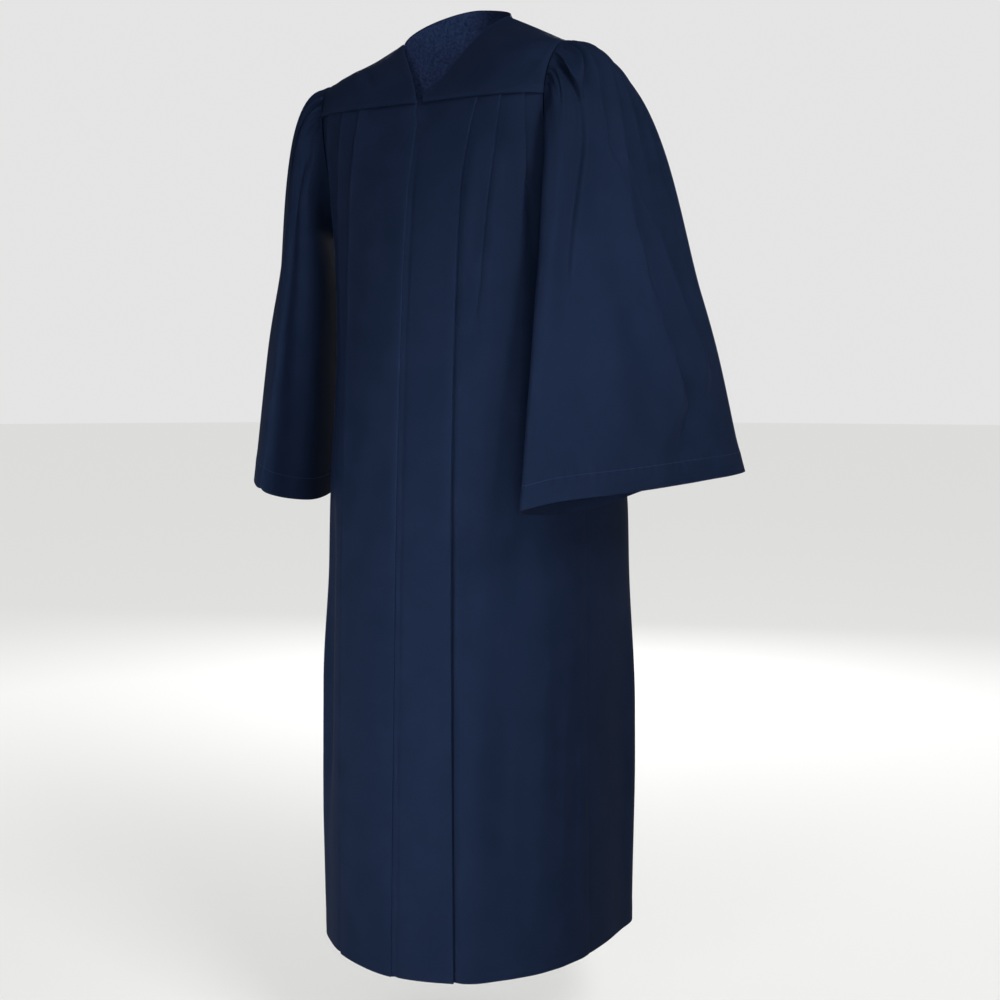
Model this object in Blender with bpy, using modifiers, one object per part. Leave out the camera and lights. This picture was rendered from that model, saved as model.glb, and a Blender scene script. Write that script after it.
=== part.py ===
"""Choir robe, as construction: one named object for each piece that is cut and sewn, each a wall of
cloth in the form it takes on a standing figure. Metres, +Z up. The front faces -Y and the wearer's
left is +X. The origin is midway between the two points where the shoulder seams meet the neck."""

import bpy
import numpy as np

WALL = 0.0011  # cloth, with its turned edges
SEAM = 0.0003  # between pieces that are sewn together
LAYER = 0.0017  # from one layer of a pleat to the next
STACK = 2 * LAYER  # from the lowest layer of a pleat to its top one
TURN = 0.00085  # radius of a pleat's fold
SHOULDER_GAP = 0.0006  # each yoke stops this far from the shoulder line, as their walls meet at an angle
YOKE_OUT = 0.0053  # a yoke's lower edge stands this far outside the panel it covers

FRONT_SEAM_Z = -0.122  # lower edge of the front yokes
BACK_SEAM_Z = -0.150  # lower edge of the back yoke
TUCK = 0.005  # the panels go on up under the yokes by this much
HEM_Z = -1.295
UNDERLAP = 0.012  # the left front goes on under the right front, where the zip is
OVERLAP = 0.0035  # the right front's folded edge, past the centre line
SLIT_HALF = 0.0022  # the closure is open at its top, by twice this
SLIT_END_Z = -0.143

EDGE_BLEND = 0.06  # a panel bends this far in from its armhole to meet it
PLEAT_BASE = 0.0015  # how far the cloth between the pleats stands out, at the middle of the back
YOKE_LIFT = 0.0016  # a yoke's lower edge stands this far out where it meets the armhole
YOKE_LAP = 0.007  # from the yoke's lower edge to its first row above the panel's top
YOKE_EASE = 0.02  # over this width the yoke's edge comes down to the armhole
YOKE_SWELL = 0.006
FACING_LIFT = 0.0019  # the right front's turned edge, over the left front
FACING_WIDTH = 0.008
FOLD_EASE = {"left": 0.03, "right": 0.03, "back": 0.04}  # soft folds die away this near to a side edge

NAVY = (0.0123, 0.0203, 0.0482, 1.0)
LINING_NAVY = (0.0107, 0.0171, 0.0423, 1.0)
ROUGHNESS = 0.62


def table(names, rows):
    """A short table with named columns, in the order of its first column."""
    values = np.array(sorted(rows), float)
    return {name: values[:, k] for k, name in enumerate(names.split())}


# Half of the body in plan, from the centre line to the side seam, or where it would go on upwards.
# heading: the way the cloth runs at the side seam, in degrees from +X. full_*: how far each end bulges.
FRONT = table("z centre_y heading full_centre full_side", [
    (-0.105, -0.0810, 107, 0.880, 1.59),
    (-0.117, -0.0850, 106, 0.885, 1.57),
    (-0.160, -0.0980, 99, 0.955, 1.43),
    (-0.205, -0.1090, 95, 0.960, 1.24),
    (-0.252, -0.1190, 92, 0.930, 1.12),
    (-0.450, -0.1360, 88, 0.860, 0.95),
    (-0.700, -0.1480, 88, 0.900, 1.00),
    (-1.000, -0.1560, 88, 0.870, 0.99),
    (-1.295, -0.1620, 88, 0.780, 0.96),
])
BACK = table("z centre_y heading full_centre full_side", [
    (-0.130, 0.1110, 81, 0.840, 0.92),
    (-0.165, 0.1171, 89, 0.965, 1.20),
    (-0.205, 0.1250, 92, 1.040, 1.35),
    (-0.252, 0.1400, 91, 1.080, 1.37),
    (-0.450, 0.2250, 86, 1.180, 1.35),
    (-0.700, 0.2850, 82, 1.270, 1.52),
    (-1.000, 0.2950, 83, 1.270, 1.50),
    (-1.295, 0.3000, 84, 1.250, 1.46),
])
SIDE_SEAM = table("z x y", [
    (-0.252, 0.1890, 0.0300),
    (-0.305, 0.1860, 0.0300),
    (-0.445, 0.1850, 0.0320),
    (-0.700, 0.1945, 0.0360),
    (-1.295, 0.2000, 0.0400),
])
# Row heights below the underarm, which the front and the back share
SKIRT_ROWS = [-0.2515, -0.305, -0.370, -0.445, -0.530, -0.615, -0.700, -0.800, -0.900]
SKIRT_ROWS += [-1.000, -1.100, -1.200, HEM_Z]
FRONT_ROWS = [FRONT_SEAM_Z + TUCK, -0.1405, -0.1455, -0.178, -0.215] + SKIRT_ROWS
BACK_ROWS = [BACK_SEAM_Z + TUCK, -0.180, -0.215] + SKIRT_ROWS[:5] + SKIRT_ROWS[6::2]

# Each armhole is a loop on the shoulder. lean tips its top towards the front.
ARMHOLE = {
    "left": dict(x=0.1830, y=0.012, z=-0.148, half_depth=0.070, half_height=0.104, lean=0.018),
    "right": dict(x=0.1830, y=0.012, z=-0.163, half_depth=0.070, half_height=0.096, lean=0.018),
}
ARMHOLE_WAVE = 0.006  # its top and foot lie this much further out than its front and back
NECK_SIDE = {"left": (0.0830, 0.020, 0.010), "right": (0.0890, 0.0195, -0.012)}
NECK_BACK = (0.0, 0.092, 0.046)
# The neck's edge: how it leaves and arrives, from the closure and from the middle of the back to NECK_SIDE.
NECK_FRONT_EDGE = {
    "left": ((0.072, 0.098, 0.100), (0.098, 0.138, 0.079)), "right": ((0.060, 0.070, 0.134), (0.082, 0.134, 0.092))}
NECK_BACK_EDGE = {
    "left": ((0.105, 0.004, -0.012), (0.006, -0.090, -0.040)),
    "right": ((0.114, -0.004, 0.012), (-0.018, -0.063, -0.083))}

# The columns of cloth from the last pleat to the side edge, as shares of the way
SIDE_SHARES = {"front": (0.22, 0.45, 0.7, 1.0), "back": (0.3, 0.65, 1.0)}
# An opened pleat's six columns, as (arc, level): a step from the upper level, 2, to the lower, 0
SOFT_STEP = [(-0.0090, 2), (-0.0058, 1.85), (-0.0020, 1.3), (0.0020, 0.7), (0.0058, 0.15), (0.0090, 0)]

# Knife pleats. arc: the fold's distance from the centre line. lap: cloth under the fold.
# open: 0 folded, 1 a soft step, 2 a wide one. step: its height, STACK when folded.
PLEAT_COLUMNS = "z arc lap open step"
FRONT_PLEATS = {
    "left": [
        table(PLEAT_COLUMNS, [
            (-0.117, 0.0950, 0.014, 0, STACK), (-0.240, 0.0800, 0.013, 0, STACK),
            (-0.450, 0.0780, 0.011, 0, STACK), (-0.800, 0.0820, 0.009, 0, STACK),
            (-1.295, 0.0890, 0.007, 0, STACK)]),
        table(PLEAT_COLUMNS, [
            (-0.117, 0.1280, 0.013, 0, STACK), (-0.210, 0.1210, 0.010, 0, STACK),
            (-0.360, 0.1110, 0.005, 0, STACK), (-0.460, 0.1100, 0.004, 0.7, 0.0030),
            (-0.560, 0.1120, 0.004, 1, 0.0022), (-0.800, 0.1240, 0.004, 1.8, 0.0008),
            (-1.295, 0.1300, 0.004, 2, 0.0004)]),
        table(PLEAT_COLUMNS, [
            (-0.117, 0.1590, 0.012, 0, STACK), (-0.200, 0.1640, 0.007, 0, STACK),
            (-0.260, 0.1680, 0.004, 0.5, 0.0032), (-0.330, 0.1720, 0.004, 1, 0.0022),
            (-0.600, 0.1800, 0.004, 1.6, 0.0010), (-1.295, 0.1930, 0.004, 2, 0.0004)]),
    ],
    "right": [
        table(PLEAT_COLUMNS, [
            (-0.117, 0.0940, 0.014, 0, STACK), (-0.240, 0.1020, 0.013, 0, STACK),
            (-0.450, 0.1070, 0.011, 0, STACK), (-0.800, 0.1020, 0.008, 0, STACK),
            (-1.295, 0.1020, 0.005, 0, STACK)]),
        table(PLEAT_COLUMNS, [
            (-0.117, 0.1250, 0.013, 0, STACK), (-0.200, 0.1320, 0.010, 0, STACK),
            (-0.300, 0.1380, 0.005, 0, STACK), (-0.400, 0.1410, 0.004, 0.8, 0.0030),
            (-0.560, 0.1440, 0.004, 1.2, 0.0020), (-0.800, 0.1480, 0.004, 1.8, 0.0010),
            (-1.295, 0.1500, 0.004, 2, 0.0004)]),
        table(PLEAT_COLUMNS, [
            (-0.117, 0.1560, 0.012, 0, STACK), (-0.190, 0.1640, 0.007, 0, STACK),
            (-0.250, 0.1700, 0.004, 0.6, 0.0032), (-0.330, 0.1760, 0.004, 1, 0.0020),
            (-0.600, 0.1900, 0.004, 1.6, 0.0010), (-1.295, 0.2100, 0.004, 2, 0.0004)]),
    ],
}
BACK_PLEATS = [
    table(PLEAT_COLUMNS, [
        (-0.145, 0.0560, 0.013, 0, STACK), (-0.300, 0.0580, 0.012, 0, STACK),
        (-0.700, 0.0750, 0.006, 0, STACK), (-0.950, 0.0900, 0.004, 0.8, 0.0030),
        (-1.295, 0.1000, 0.004, 2.2, 0.0010)]),
    table(PLEAT_COLUMNS, [
        (-0.145, 0.1080, 0.013, 0, STACK), (-0.300, 0.1150, 0.009, 0, STACK),
        (-0.520, 0.1300, 0.004, 0, STACK), (-0.700, 0.1550, 0.004, 1.2, 0.0026),
        (-1.295, 0.1950, 0.004, 2.6, 0.0008)]),
]

# The largest soft folds. Each runs from one end to the other and stands out of the cloth by its height.
SKIRT_FOLD_COLUMNS = "top_z top_arc low_z low_arc half_width height"
SKIRT_FOLDS = {
    "left": table(SKIRT_FOLD_COLUMNS, [
        (-0.740, 0.116, -1.320, 0.106, 0.016, 0.0055),
        (-0.600, 0.152, -0.960, 0.150, 0.016, -0.0050),
        (-0.820, 0.210, -1.330, 0.150, 0.016, -0.0060),
        (-0.780, 0.240, -1.300, 0.222, 0.020, 0.0055),
        (-0.900, 0.280, -1.360, 0.262, 0.018, -0.0055),
    ]),
    "right": table(SKIRT_FOLD_COLUMNS, [
        (-0.620, 0.150, -1.100, 0.160, 0.018, -0.0040),
        (-0.760, 0.190, -1.340, 0.178, 0.020, 0.0050),
        (-0.860, 0.236, -1.340, 0.222, 0.020, -0.0060),
        (-0.740, 0.272, -1.330, 0.266, 0.020, 0.0050),
    ]),
    "back": table(SKIRT_FOLD_COLUMNS, [
        (-0.380, 0.022, -1.500, 0.018, 0.026, -0.0060),
        (-0.420, 0.070, -1.500, 0.062, 0.024, 0.0080),
        (-0.560, 0.104, -1.500, 0.116, 0.024, -0.0100),
        (-0.500, 0.150, -1.500, 0.168, 0.026, 0.0110),
        (-0.640, 0.190, -1.500, 0.222, 0.026, -0.0100),
        (-0.760, 0.240, -1.500, 0.270, 0.024, 0.0080),
    ]),
}

# A sleeve leaves its armhole along this tangent. Angle 0 is the top, -90 the front, 180 the underarm.
SLEEVE_START = table("angle out back up", [
    (-180, 0.090, 0.010, -0.100),
    (-90, 0.100, -0.070, -0.100),
    (-45, 0.220, -0.060, -0.010),
    (0, 0.330, 0.030, 0.010),
    (45, 0.370, 0.150, 0.010),
    (90, 0.260, 0.240, -0.080),
    (180, 0.090, 0.010, -0.100),
])
# Two flattened sections: elbow and hem. rise lifts the hem's back edge, drop lowers its inner face.
SLEEVE = {
    "left": dict(
        puff=(0.93, 0.86, 1.0),
        elbow=(0.2490, 0.036, -0.385), elbow_depth=0.162, elbow_width=0.042, elbow_yaw=18,
        hem=(0.2720, 0.050, -0.657), hem_depth=0.235, hem_width=0.042, hem_yaw=17, rise=0.020, drop=0.034),
    "right": dict(
        puff=(0.80, 1.0, 1.0),
        elbow=(0.2520, 0.040, -0.380), elbow_depth=0.168, elbow_width=0.042, elbow_yaw=18,
        hem=(0.2720, 0.050, -0.645), hem_depth=0.235, hem_width=0.042, hem_yaw=17, rise=0.020, drop=0.045),
}
SLEEVE_FLAT = 0.15  # how sharply a sleeve's section narrows to its front and back edges
SLEEVE_OUT = 0.0007  # a sleeve starts this far outside its armhole at the top
SLEEVE_OUT_FOOT = 0.0005  # and this much further out at its front and back, twice it at the foot
SLEEVE_ROWS = [0, 0.03, 0.075, 0.14, 0.22, 0.32, 0.44, 0.58, 0.72, 0.86, 1.0]
SLEEVE_FOLD_COLUMNS = "top_angle top_t low_angle low_t half_width height"
SLEEVE_FOLDS = {
    "left": table(SLEEVE_FOLD_COLUMNS, [
        (-41, 0.03, -46, 0.34, 8, -0.0080), (-57, 0.04, -60, 0.30, 8, 0.0040),
        (-47, 0.30, -53, 0.85, 11, -0.0060), (-26, 0.05, 2, 0.95, 10, 0.0070),
        (-10, 0.10, 18, 0.98, 10, -0.0060), (4, 0.05, 46, 0.80, 11, 0.0050),
        (26, 0.05, 66, 0.70, 11, -0.0050), (48, 0.03, 84, 0.60, 12, 0.0060),
        (148, 0.20, 140, 1.0, 18, -0.0060),
    ]),
    "right": table(SLEEVE_FOLD_COLUMNS, [
        (-36, 0.03, -40, 0.40, 9, -0.0070), (-18, 0.04, -6, 0.70, 10, 0.0060),
        (2, 0.05, 16, 0.85, 10, -0.0060), (24, 0.04, 44, 0.75, 11, 0.0060),
        (44, 0.05, 70, 0.60, 11, -0.0050), (-118, 0.10, -126, 0.95, 14, -0.0070),
        (-62, 0.05, -66, 0.60, 10, 0.0050), (150, 0.20, 146, 1.0, 18, 0.0050),
    ]),
}
GATHER_HEIGHT = 0.0022  # the small gathers round a sleeve's head
GATHER_PITCH = 29  # degrees

MIRROR = {"left": np.array([1.0, 1.0, 1.0]), "right": np.array([-1.0, 1.0, 1.0])}


def along(rows, column, at):
    """A column of a table read at `at`, by a cubic that goes through each row and never overshoots it."""
    x, y = list(rows.values())[0], rows[column]
    width = np.diff(x)
    rise = np.diff(y) / width
    slope = np.concatenate([rise[:1], np.zeros(len(rise) - 1), rise[-1:]])
    for k in range(1, len(rise)):
        if rise[k - 1] * rise[k] > 0:
            before, after = 2 * width[k] + width[k - 1], width[k] + 2 * width[k - 1]
            slope[k] = (before + after) / (before / rise[k - 1] + after / rise[k])
    at = np.clip(np.asarray(at, float), x[0], x[-1])
    k = np.clip(np.searchsorted(x, at, side="right") - 1, 0, len(width) - 1)
    return cubic(y[k], y[k + 1], slope[k] * width[k], slope[k + 1] * width[k], (at - x[k]) / width[k])


def cubic(start, end, leave, arrive, t):
    """The Hermite cubic from start to end, with the tangents leave and arrive."""
    return (start * (1 + 2 * t) * (1 - t) ** 2 + leave * t * (1 - t) ** 2
            + end * t * t * (3 - 2 * t) + arrive * t * t * (t - 1))


def curve(start, end, leave, arrive, steps):
    t = np.linspace(0, 1, steps)[:, None]
    return cubic(*(np.asarray(v, float) for v in (start, end, leave, arrive)), t)


def ease(t):
    t = np.clip(t, 0, 1)
    return t * t * (3 - 2 * t)


def armhole(side, angle):
    """A point of the armhole loop, drawn on the left. Angle 0 is its top, -pi/2 its front, pi its foot."""
    hole = ARMHOLE[side]
    cos, sin = np.cos(angle), np.sin(angle)
    return np.stack([
        hole["x"] + ARMHOLE_WAVE * np.cos(2 * angle),
        hole["y"] + hole["half_depth"] * sin - hole["lean"] * cos,
        hole["z"] + hole["half_height"] * cos], -1)


def armhole_angle(side, z):
    """The angle at which the armhole loop is at height z, or None below its foot."""
    cos = (z - ARMHOLE[side]["z"]) / ARMHOLE[side]["half_height"]
    return None if cos <= -1 else np.arccos(min(cos, 1.0))


def half_plan(side, z, face, steps=72):
    """Plan of half of the front (face -1) or back (face 1) at height z, from the centre line to the
    armhole or the side seam. It runs as if to a side seam all the way up, and the armhole cuts it off.
    Returns its points, arc lengths and outward normals."""
    rows = FRONT if face < 0 else BACK
    seam = np.array([along(SIDE_SEAM, "x", z), along(SIDE_SEAM, "y", z)])
    centre = np.array([0.0, along(rows, "centre_y", z)])
    heading = np.radians(along(rows, "heading", z))
    span = 1.25 * np.linalg.norm(seam - centre)
    leave = span * along(rows, "full_centre", z) * np.array([1.0, 0.0])
    arrive = span * along(rows, "full_side", z) * np.array([np.cos(heading), np.sin(heading)]) * -face
    t = np.linspace(0, 1, steps)[:, None]
    line = cubic(centre, seam, leave, arrive, t)
    angle = armhole_angle(side, z)
    if angle is not None:
        cut = armhole(side, face * angle)[:2]
        t = t * np.interp(-face * cut[1], -face * line[:, 1], t[:, 0])
        line = cubic(centre, seam, leave, arrive, t)
        to_edge = np.linalg.norm(line - line[-1], axis=1)[:, None]
        line = line + (cut - line[-1]) * ease(1 - to_edge / EDGE_BLEND)
    arc = np.concatenate([[0], np.cumsum(np.linalg.norm(np.diff(line, axis=0), axis=1))])
    run = np.gradient(line, axis=0)
    run /= np.linalg.norm(run, axis=1)[:, None]
    return line, arc, np.stack([run[:, 1], -run[:, 0]], -1) * -face


def place(side, z, face, arcs, offsets):
    """A row of cloth: places along the half plan, moved outwards. A negative arc is past the centre line."""
    line, arc, out = half_plan(side, z, face)
    x, y, out_x, out_y = (np.interp(np.abs(arcs), arc, v) for v in (*line.T, *out.T))
    size = np.hypot(out_x, out_y)
    past = np.where(arcs < 0, -1.0, 1.0)
    row = [past * (x + out_x / size * offsets), y + out_y / size * offsets, np.full_like(x, z)]
    return np.stack(row, -1) * MIRROR[side]


def pleat(rows, z):
    """The six columns of one knife pleat at height z, as (arc, offset): the top layer's fold, the
    return under it and the next layer. Where the pleat opens they spread into a soft step."""
    arc, lap, opened, step = (float(along(rows, name, z)) for name in ("arc", "lap", "open", "step"))
    folded = [(-TURN, 2), (0, 1.5), (-TURN, 1), (-lap + TURN, 1), (-lap, 0.5), (-lap + TURN, 0)]
    spread = 1 + 1.5 * max(0.0, opened - 1)
    mix = float(ease(opened))
    return [(arc + a * (1 - mix) + b * spread * mix, (o * (1 - mix) + p * mix) * step / 2)
            for (a, o), (b, p) in zip(folded, SOFT_STEP)]


def skirt_folds(name, z, arcs):
    """The soft folds of a body panel, as an offset. Each runs along a leaning line, has the section of
    a bell curve, and dies away at its ends and near the panel's side edge, the last of the arcs."""
    total = np.zeros_like(arcs)
    for top_z, top_arc, low_z, low_arc, half_width, height in zip(*SKIRT_FOLDS[name].values()):
        t = (z - top_z) / (low_z - top_z)
        away = (arcs - top_arc - (low_arc - top_arc) * t) / half_width
        total += height * ease(t / 0.3) * ease((1.1 - t) / 0.3) * np.exp(-away ** 2)
    return total * ease((arcs[-1] - arcs) / FOLD_EASE[name])


def sleeve_folds(side, angle, t):
    """The soft folds of a sleeve, as an offset, and the small gathers round its head."""
    degrees = np.degrees(angle)
    total = np.zeros_like(t)
    for top_angle, top_t, low_angle, low_t, half_width, height in zip(*SLEEVE_FOLDS[side].values()):
        k = (t - top_t) / (low_t - top_t)
        away = (degrees - top_angle - (low_angle - top_angle) * k + 180) % 360 - 180
        total += height * ease(k / 0.2) * ease((1 - k) / 0.35) * np.exp(-((away / half_width) ** 2))
    head = ease((82 - np.abs(degrees)) / 20) * ease(t / 0.05) * ease((0.24 - t) / 0.18)
    return total + GATHER_HEIGHT * head * np.cos(2 * np.pi * degrees / GATHER_PITCH)


def patch(low, high, first, last):
    """A Coons surface. low and high run across, first and last run from low to high at its two ends."""
    v = np.linspace(0, 1, len(first))[:, None, None]
    u = np.linspace(0, 1, len(low))[None, :, None]
    corners = ((1 - u) * (1 - v) * low[0] + u * (1 - v) * low[-1]
               + (1 - u) * v * high[0] + u * v * high[-1])
    return (1 - v) * low[None] + v * high[None] + (1 - u) * first[:, None] + u * last[:, None] - corners


def shoulder(side, steps):
    """The shoulder seam, drawn on the left, from the neck to the top of the armhole."""
    neck, tip = np.array(NECK_SIDE[side]), armhole(side, 0.0)
    run = tip - neck
    return curve(neck, tip, run * (1, 1, 0.95), run * (1, 1, 1.05), steps)


def yoke_foot(side, face, z, start, steps):
    """The two lowest rows of a yoke, on the left. They follow the panel below, outside its pleats,
    from the yoke's lower edge at z to just above the panel's top edge."""
    rows = []
    for height in (z, z + YOKE_LAP):
        end = half_plan(side, height, face)[1][-1] - SEAM
        arcs = np.linspace(start, end, steps)
        offsets = YOKE_LIFT + (YOKE_OUT - YOKE_LIFT) * ease((end - arcs) / YOKE_EASE)
        rows.append(place(side, height, face, arcs, offsets) * MIRROR[side])
    return rows


def armhole_edge(side, face, z, steps):
    """The armhole, on the left, from height z on its front or back up to its top."""
    return armhole(side, face * armhole_angle(side, z) * np.linspace(1, 0, steps))


def surface_normals(grid, around=False):
    across = np.roll(grid, -1, 1) - np.roll(grid, 1, 1) if around else np.gradient(grid, axis=1)
    normal = np.cross(across, np.gradient(grid, axis=0))
    return normal / np.linalg.norm(normal, axis=2)[..., None]


def cloth_material(name, colour):
    material = bpy.data.materials.new(name)
    material.use_nodes = True
    surface = material.node_tree.nodes["Principled BSDF"]
    surface.inputs["Base Color"].default_value = colour
    surface.inputs["Roughness"].default_value = ROUGHNESS
    surface.inputs["Metallic"].default_value = 0.0
    return material


def cloth(name, grid, around=False, colour=NAVY):
    """A named wall of cloth: the open surface `grid` (rows, columns, xyz), with Solidify. Each quad is
    cut along the same diagonal, so that layers made from the same points stay parallel."""
    rows, columns = grid.shape[:2]
    index = np.arange(rows * columns).reshape(rows, columns)
    after = np.roll(index, -1, 1) if around else index[:, 1:]
    before = index if around else index[:, :-1]
    quads = zip(before[:-1].flat, after[:-1].flat, after[1:].flat, before[1:].flat)
    faces = [tuple(map(int, face)) for a, b, c, d in quads for face in ((a, b, c), (a, c, d))]
    mesh = bpy.data.meshes.new(name)
    mesh.from_pydata(grid.reshape(-1, 3).tolist(), [], faces)
    mesh.materials.append(cloth_material(name, colour))
    piece = bpy.data.objects.new(name, mesh)
    ROBE.objects.link(piece)
    wall = piece.modifiers.new("wall", "SOLIDIFY")
    wall.thickness = WALL
    wall.offset = 0.0
    return piece


def front(side):
    """One front panel: from the closure, over three knife pleats, to the armhole and the side seam."""
    rows = []
    for z in FRONT_ROWS:
        end = half_plan(side, z, -1)[1][-1] - SEAM / 2
        if side == "left":
            edge = -UNDERLAP if z < SLIT_END_Z else SLIT_HALF
            columns = [(edge, 0.0), (max(edge, 0.0) + SLIT_HALF * 2, 0.0)]
        else:
            edge = -OVERLAP if z < SLIT_END_Z else SLIT_HALF
            columns = [(edge, FACING_LIFT), (max(edge, SLIT_HALF) + FACING_WIDTH, FACING_LIFT)]
        for number, rows_of_pleat in enumerate(FRONT_PLEATS[side]):
            folded = pleat(rows_of_pleat, z)
            gaps = 3 if number == 0 else 2
            between = np.linspace(columns[-1], folded[0], gaps + 1)[1:-1]
            columns += [tuple(c) for c in between] + folded
        last = columns[-1][0]
        columns += [(last + (end - last) * share, 0.0) for share in SIDE_SHARES["front"]]
        arcs, offsets = np.array(columns).T
        rows.append(place(side, z, -1, arcs, offsets + skirt_folds(side, z, arcs)))
    return cloth("front_" + side, np.array(rows))


def back():
    """The back panel, in one piece: two knife pleats on each side of its centre, which open into flutes."""
    rows = []
    for z in BACK_ROWS:
        halves = []
        for side in ("right", "left"):
            end = half_plan(side, z, 1)[1][-1] - SEAM
            columns = [(0.0, PLEAT_BASE)]
            for rows_of_pleat in BACK_PLEATS:
                folded = pleat(rows_of_pleat, z)
                columns += [tuple(np.mean([columns[-1], folded[0]], axis=0))] + folded
            last = columns[-1][0]
            columns += [(last + (end - last) * share, 0.0) for share in SIDE_SHARES["back"]]
            arcs, offsets = np.array(columns).T
            halves.append(place(side, z, 1, arcs, offsets + skirt_folds("back", z, arcs)))
        rows.append(np.concatenate([halves[0][::-1], halves[1][1:]]))
    return cloth("back", np.array(rows))


def front_yoke(side, steps=12, rows=7):
    """One front yoke: from the seam over the pleats up to the shoulder seam, from the neck to the armhole."""
    bottom, low = yoke_foot(side, -1, FRONT_SEAM_Z, SLIT_HALF, steps)
    high = shoulder(side, steps) - (0, SHOULDER_GAP, 0)
    neck = curve(low[0], high[0], *NECK_FRONT_EDGE[side], rows)
    edge = armhole_edge(side, -1, low[-1][2], rows)
    edge[0], edge[-1] = low[-1], high[-1]
    grid = patch(low, high, neck, edge)
    crown = np.outer(np.sin(np.pi * np.linspace(0, 1, rows)), np.sin(np.pi * np.linspace(0, 1, steps)))
    grid += YOKE_SWELL * crown[..., None] * (0, -1, 0.4)
    return cloth("front_yoke_" + side, np.concatenate([bottom[None], grid]) * MIRROR[side])


def back_yoke_grid(half=11, rows=6):
    """The back yoke, in one piece across both shoulders. Its top edge holds the raised back of the neck."""
    ends = {"bottom": [], "low": [], "high": [], "edge": []}
    for side in ("right", "left"):
        bottom, low = yoke_foot(side, 1, BACK_SEAM_Z, 0.0, half)
        neck = curve(NECK_BACK, NECK_SIDE[side], *NECK_BACK_EDGE[side], half // 2 + 1)
        high = np.concatenate([neck[:-1], shoulder(side, half - half // 2)]) + (0, SHOULDER_GAP, 0)
        edge = armhole_edge(side, 1, low[-1][2], rows)
        edge[0], edge[-1] = low[-1], high[-1]
        for name, line in (("bottom", bottom), ("low", low), ("high", high), ("edge", edge)):
            ends[name].append(line * MIRROR[side])
    halves = (ends[name] for name in ("bottom", "low", "high"))
    bottom, low, high = (np.concatenate([right[::-1], left[1:]]) for right, left in halves)
    return np.concatenate([bottom[None], patch(low, high, *ends["edge"])])


def back_yoke_lining():
    """The lining of the back yoke: the yoke's own points moved inside it, short of its edges."""
    outer = back_yoke_grid()
    normal = surface_normals(outer)
    inward = normal * -np.sign(normal[..., 1].mean())
    grid = (outer + inward * (WALL + 2 * SEAM))[1:]
    grid[-1] += (grid[-2] - grid[-1]) * 0.07
    grid[:, 0] += (grid[:, 1] - grid[:, 0]) * 0.3
    grid[:, -1] += (grid[:, -2] - grid[:, -1]) * 0.3
    return cloth("back_yoke_lining", grid, colour=LINING_NAVY)


def lens(angle, depth, width, yaw, centre):
    """A flattened, level sleeve section. Angle 0 is the middle of its outer face, -pi/2 its front edge."""
    long, short = depth * np.sin(angle), width * np.cos(angle) * np.abs(np.cos(angle)) ** SLEEVE_FLAT
    turn = np.radians(yaw)
    x = long * np.sin(turn) + short * np.cos(turn)
    y = long * np.cos(turn) - short * np.sin(turn)
    return np.stack([x, y, np.zeros_like(x)], -1) + centre


def sleeve_surface(side, angle, t):
    """The sleeve, on the left, from the armhole (t 0) by the elbow section (t 0.5) to the hem (t 1)."""
    size = SLEEVE[side]
    start = armhole(side, angle)
    start[..., 0] += SLEEVE_OUT + SLEEVE_OUT_FOOT * (1 - np.cos(angle))
    start[..., 0] += WALL / 2 * np.sqrt(np.abs(np.sin(angle / 2)))
    leave = [along(SLEEVE_START, name, np.degrees(angle)) for name in ("out", "back", "up")]
    leave = np.stack(leave, -1) * size["puff"]
    elbow = lens(angle, size["elbow_depth"], size["elbow_width"], size["elbow_yaw"], size["elbow"])
    hem = lens(angle, size["hem_depth"], size["hem_width"], size["hem_yaw"], size["hem"])
    front_part = ease((0.9 - np.sin(angle)) / 1.5)
    hem[..., 2] += size["rise"] * (np.sin(angle) + 1) / 2
    hem[..., 2] -= size["drop"] * np.maximum(0, -np.cos(angle)) * front_part
    through = (hem - elbow) * 0.95 + (elbow - start) * 0.12
    t = t[..., None]
    upper = cubic(start, elbow, leave, through, np.minimum(t * 2, 1))
    lower = cubic(elbow, hem, through, hem - elbow, np.maximum(t * 2 - 1, 0))
    return np.where(t <= 0.5, upper, lower)


def sleeve(side):
    """One bell sleeve: gathered into the armhole, flattened, with a front and a back edge and an open hem."""
    degrees = np.concatenate([np.linspace(-85, 85, 18), np.linspace(85, 275, 10)[1:-1]])
    angle, t = np.meshgrid(np.radians((degrees + 180) % 360 - 180), SLEEVE_ROWS)
    grid = sleeve_surface(side, angle, t)
    grid -= surface_normals(grid, around=True) * sleeve_folds(side, angle, t)[..., None]
    return cloth("sleeve_" + side, grid * MIRROR[side], around=True)


for old in list(bpy.data.objects):
    bpy.data.objects.remove(old, do_unlink=True)
ROBE = bpy.data.collections.new("choir_robe")
bpy.context.scene.collection.children.link(ROBE)

back()
cloth("back_yoke", back_yoke_grid())
back_yoke_lining()
for wearer_side in ("left", "right"):
    front(wearer_side)
    front_yoke(wearer_side)
    sleeve(wearer_side)
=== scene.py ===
"""Choir robe, dressed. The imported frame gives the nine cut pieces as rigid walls; here each gets its
cloth, on the same form, with its folds, turned edges, stitches and finish. Metres, +Z up. The front
faces -Y and the wearer's left is +X. The origin is between the neck ends of the shoulder seams."""

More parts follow.
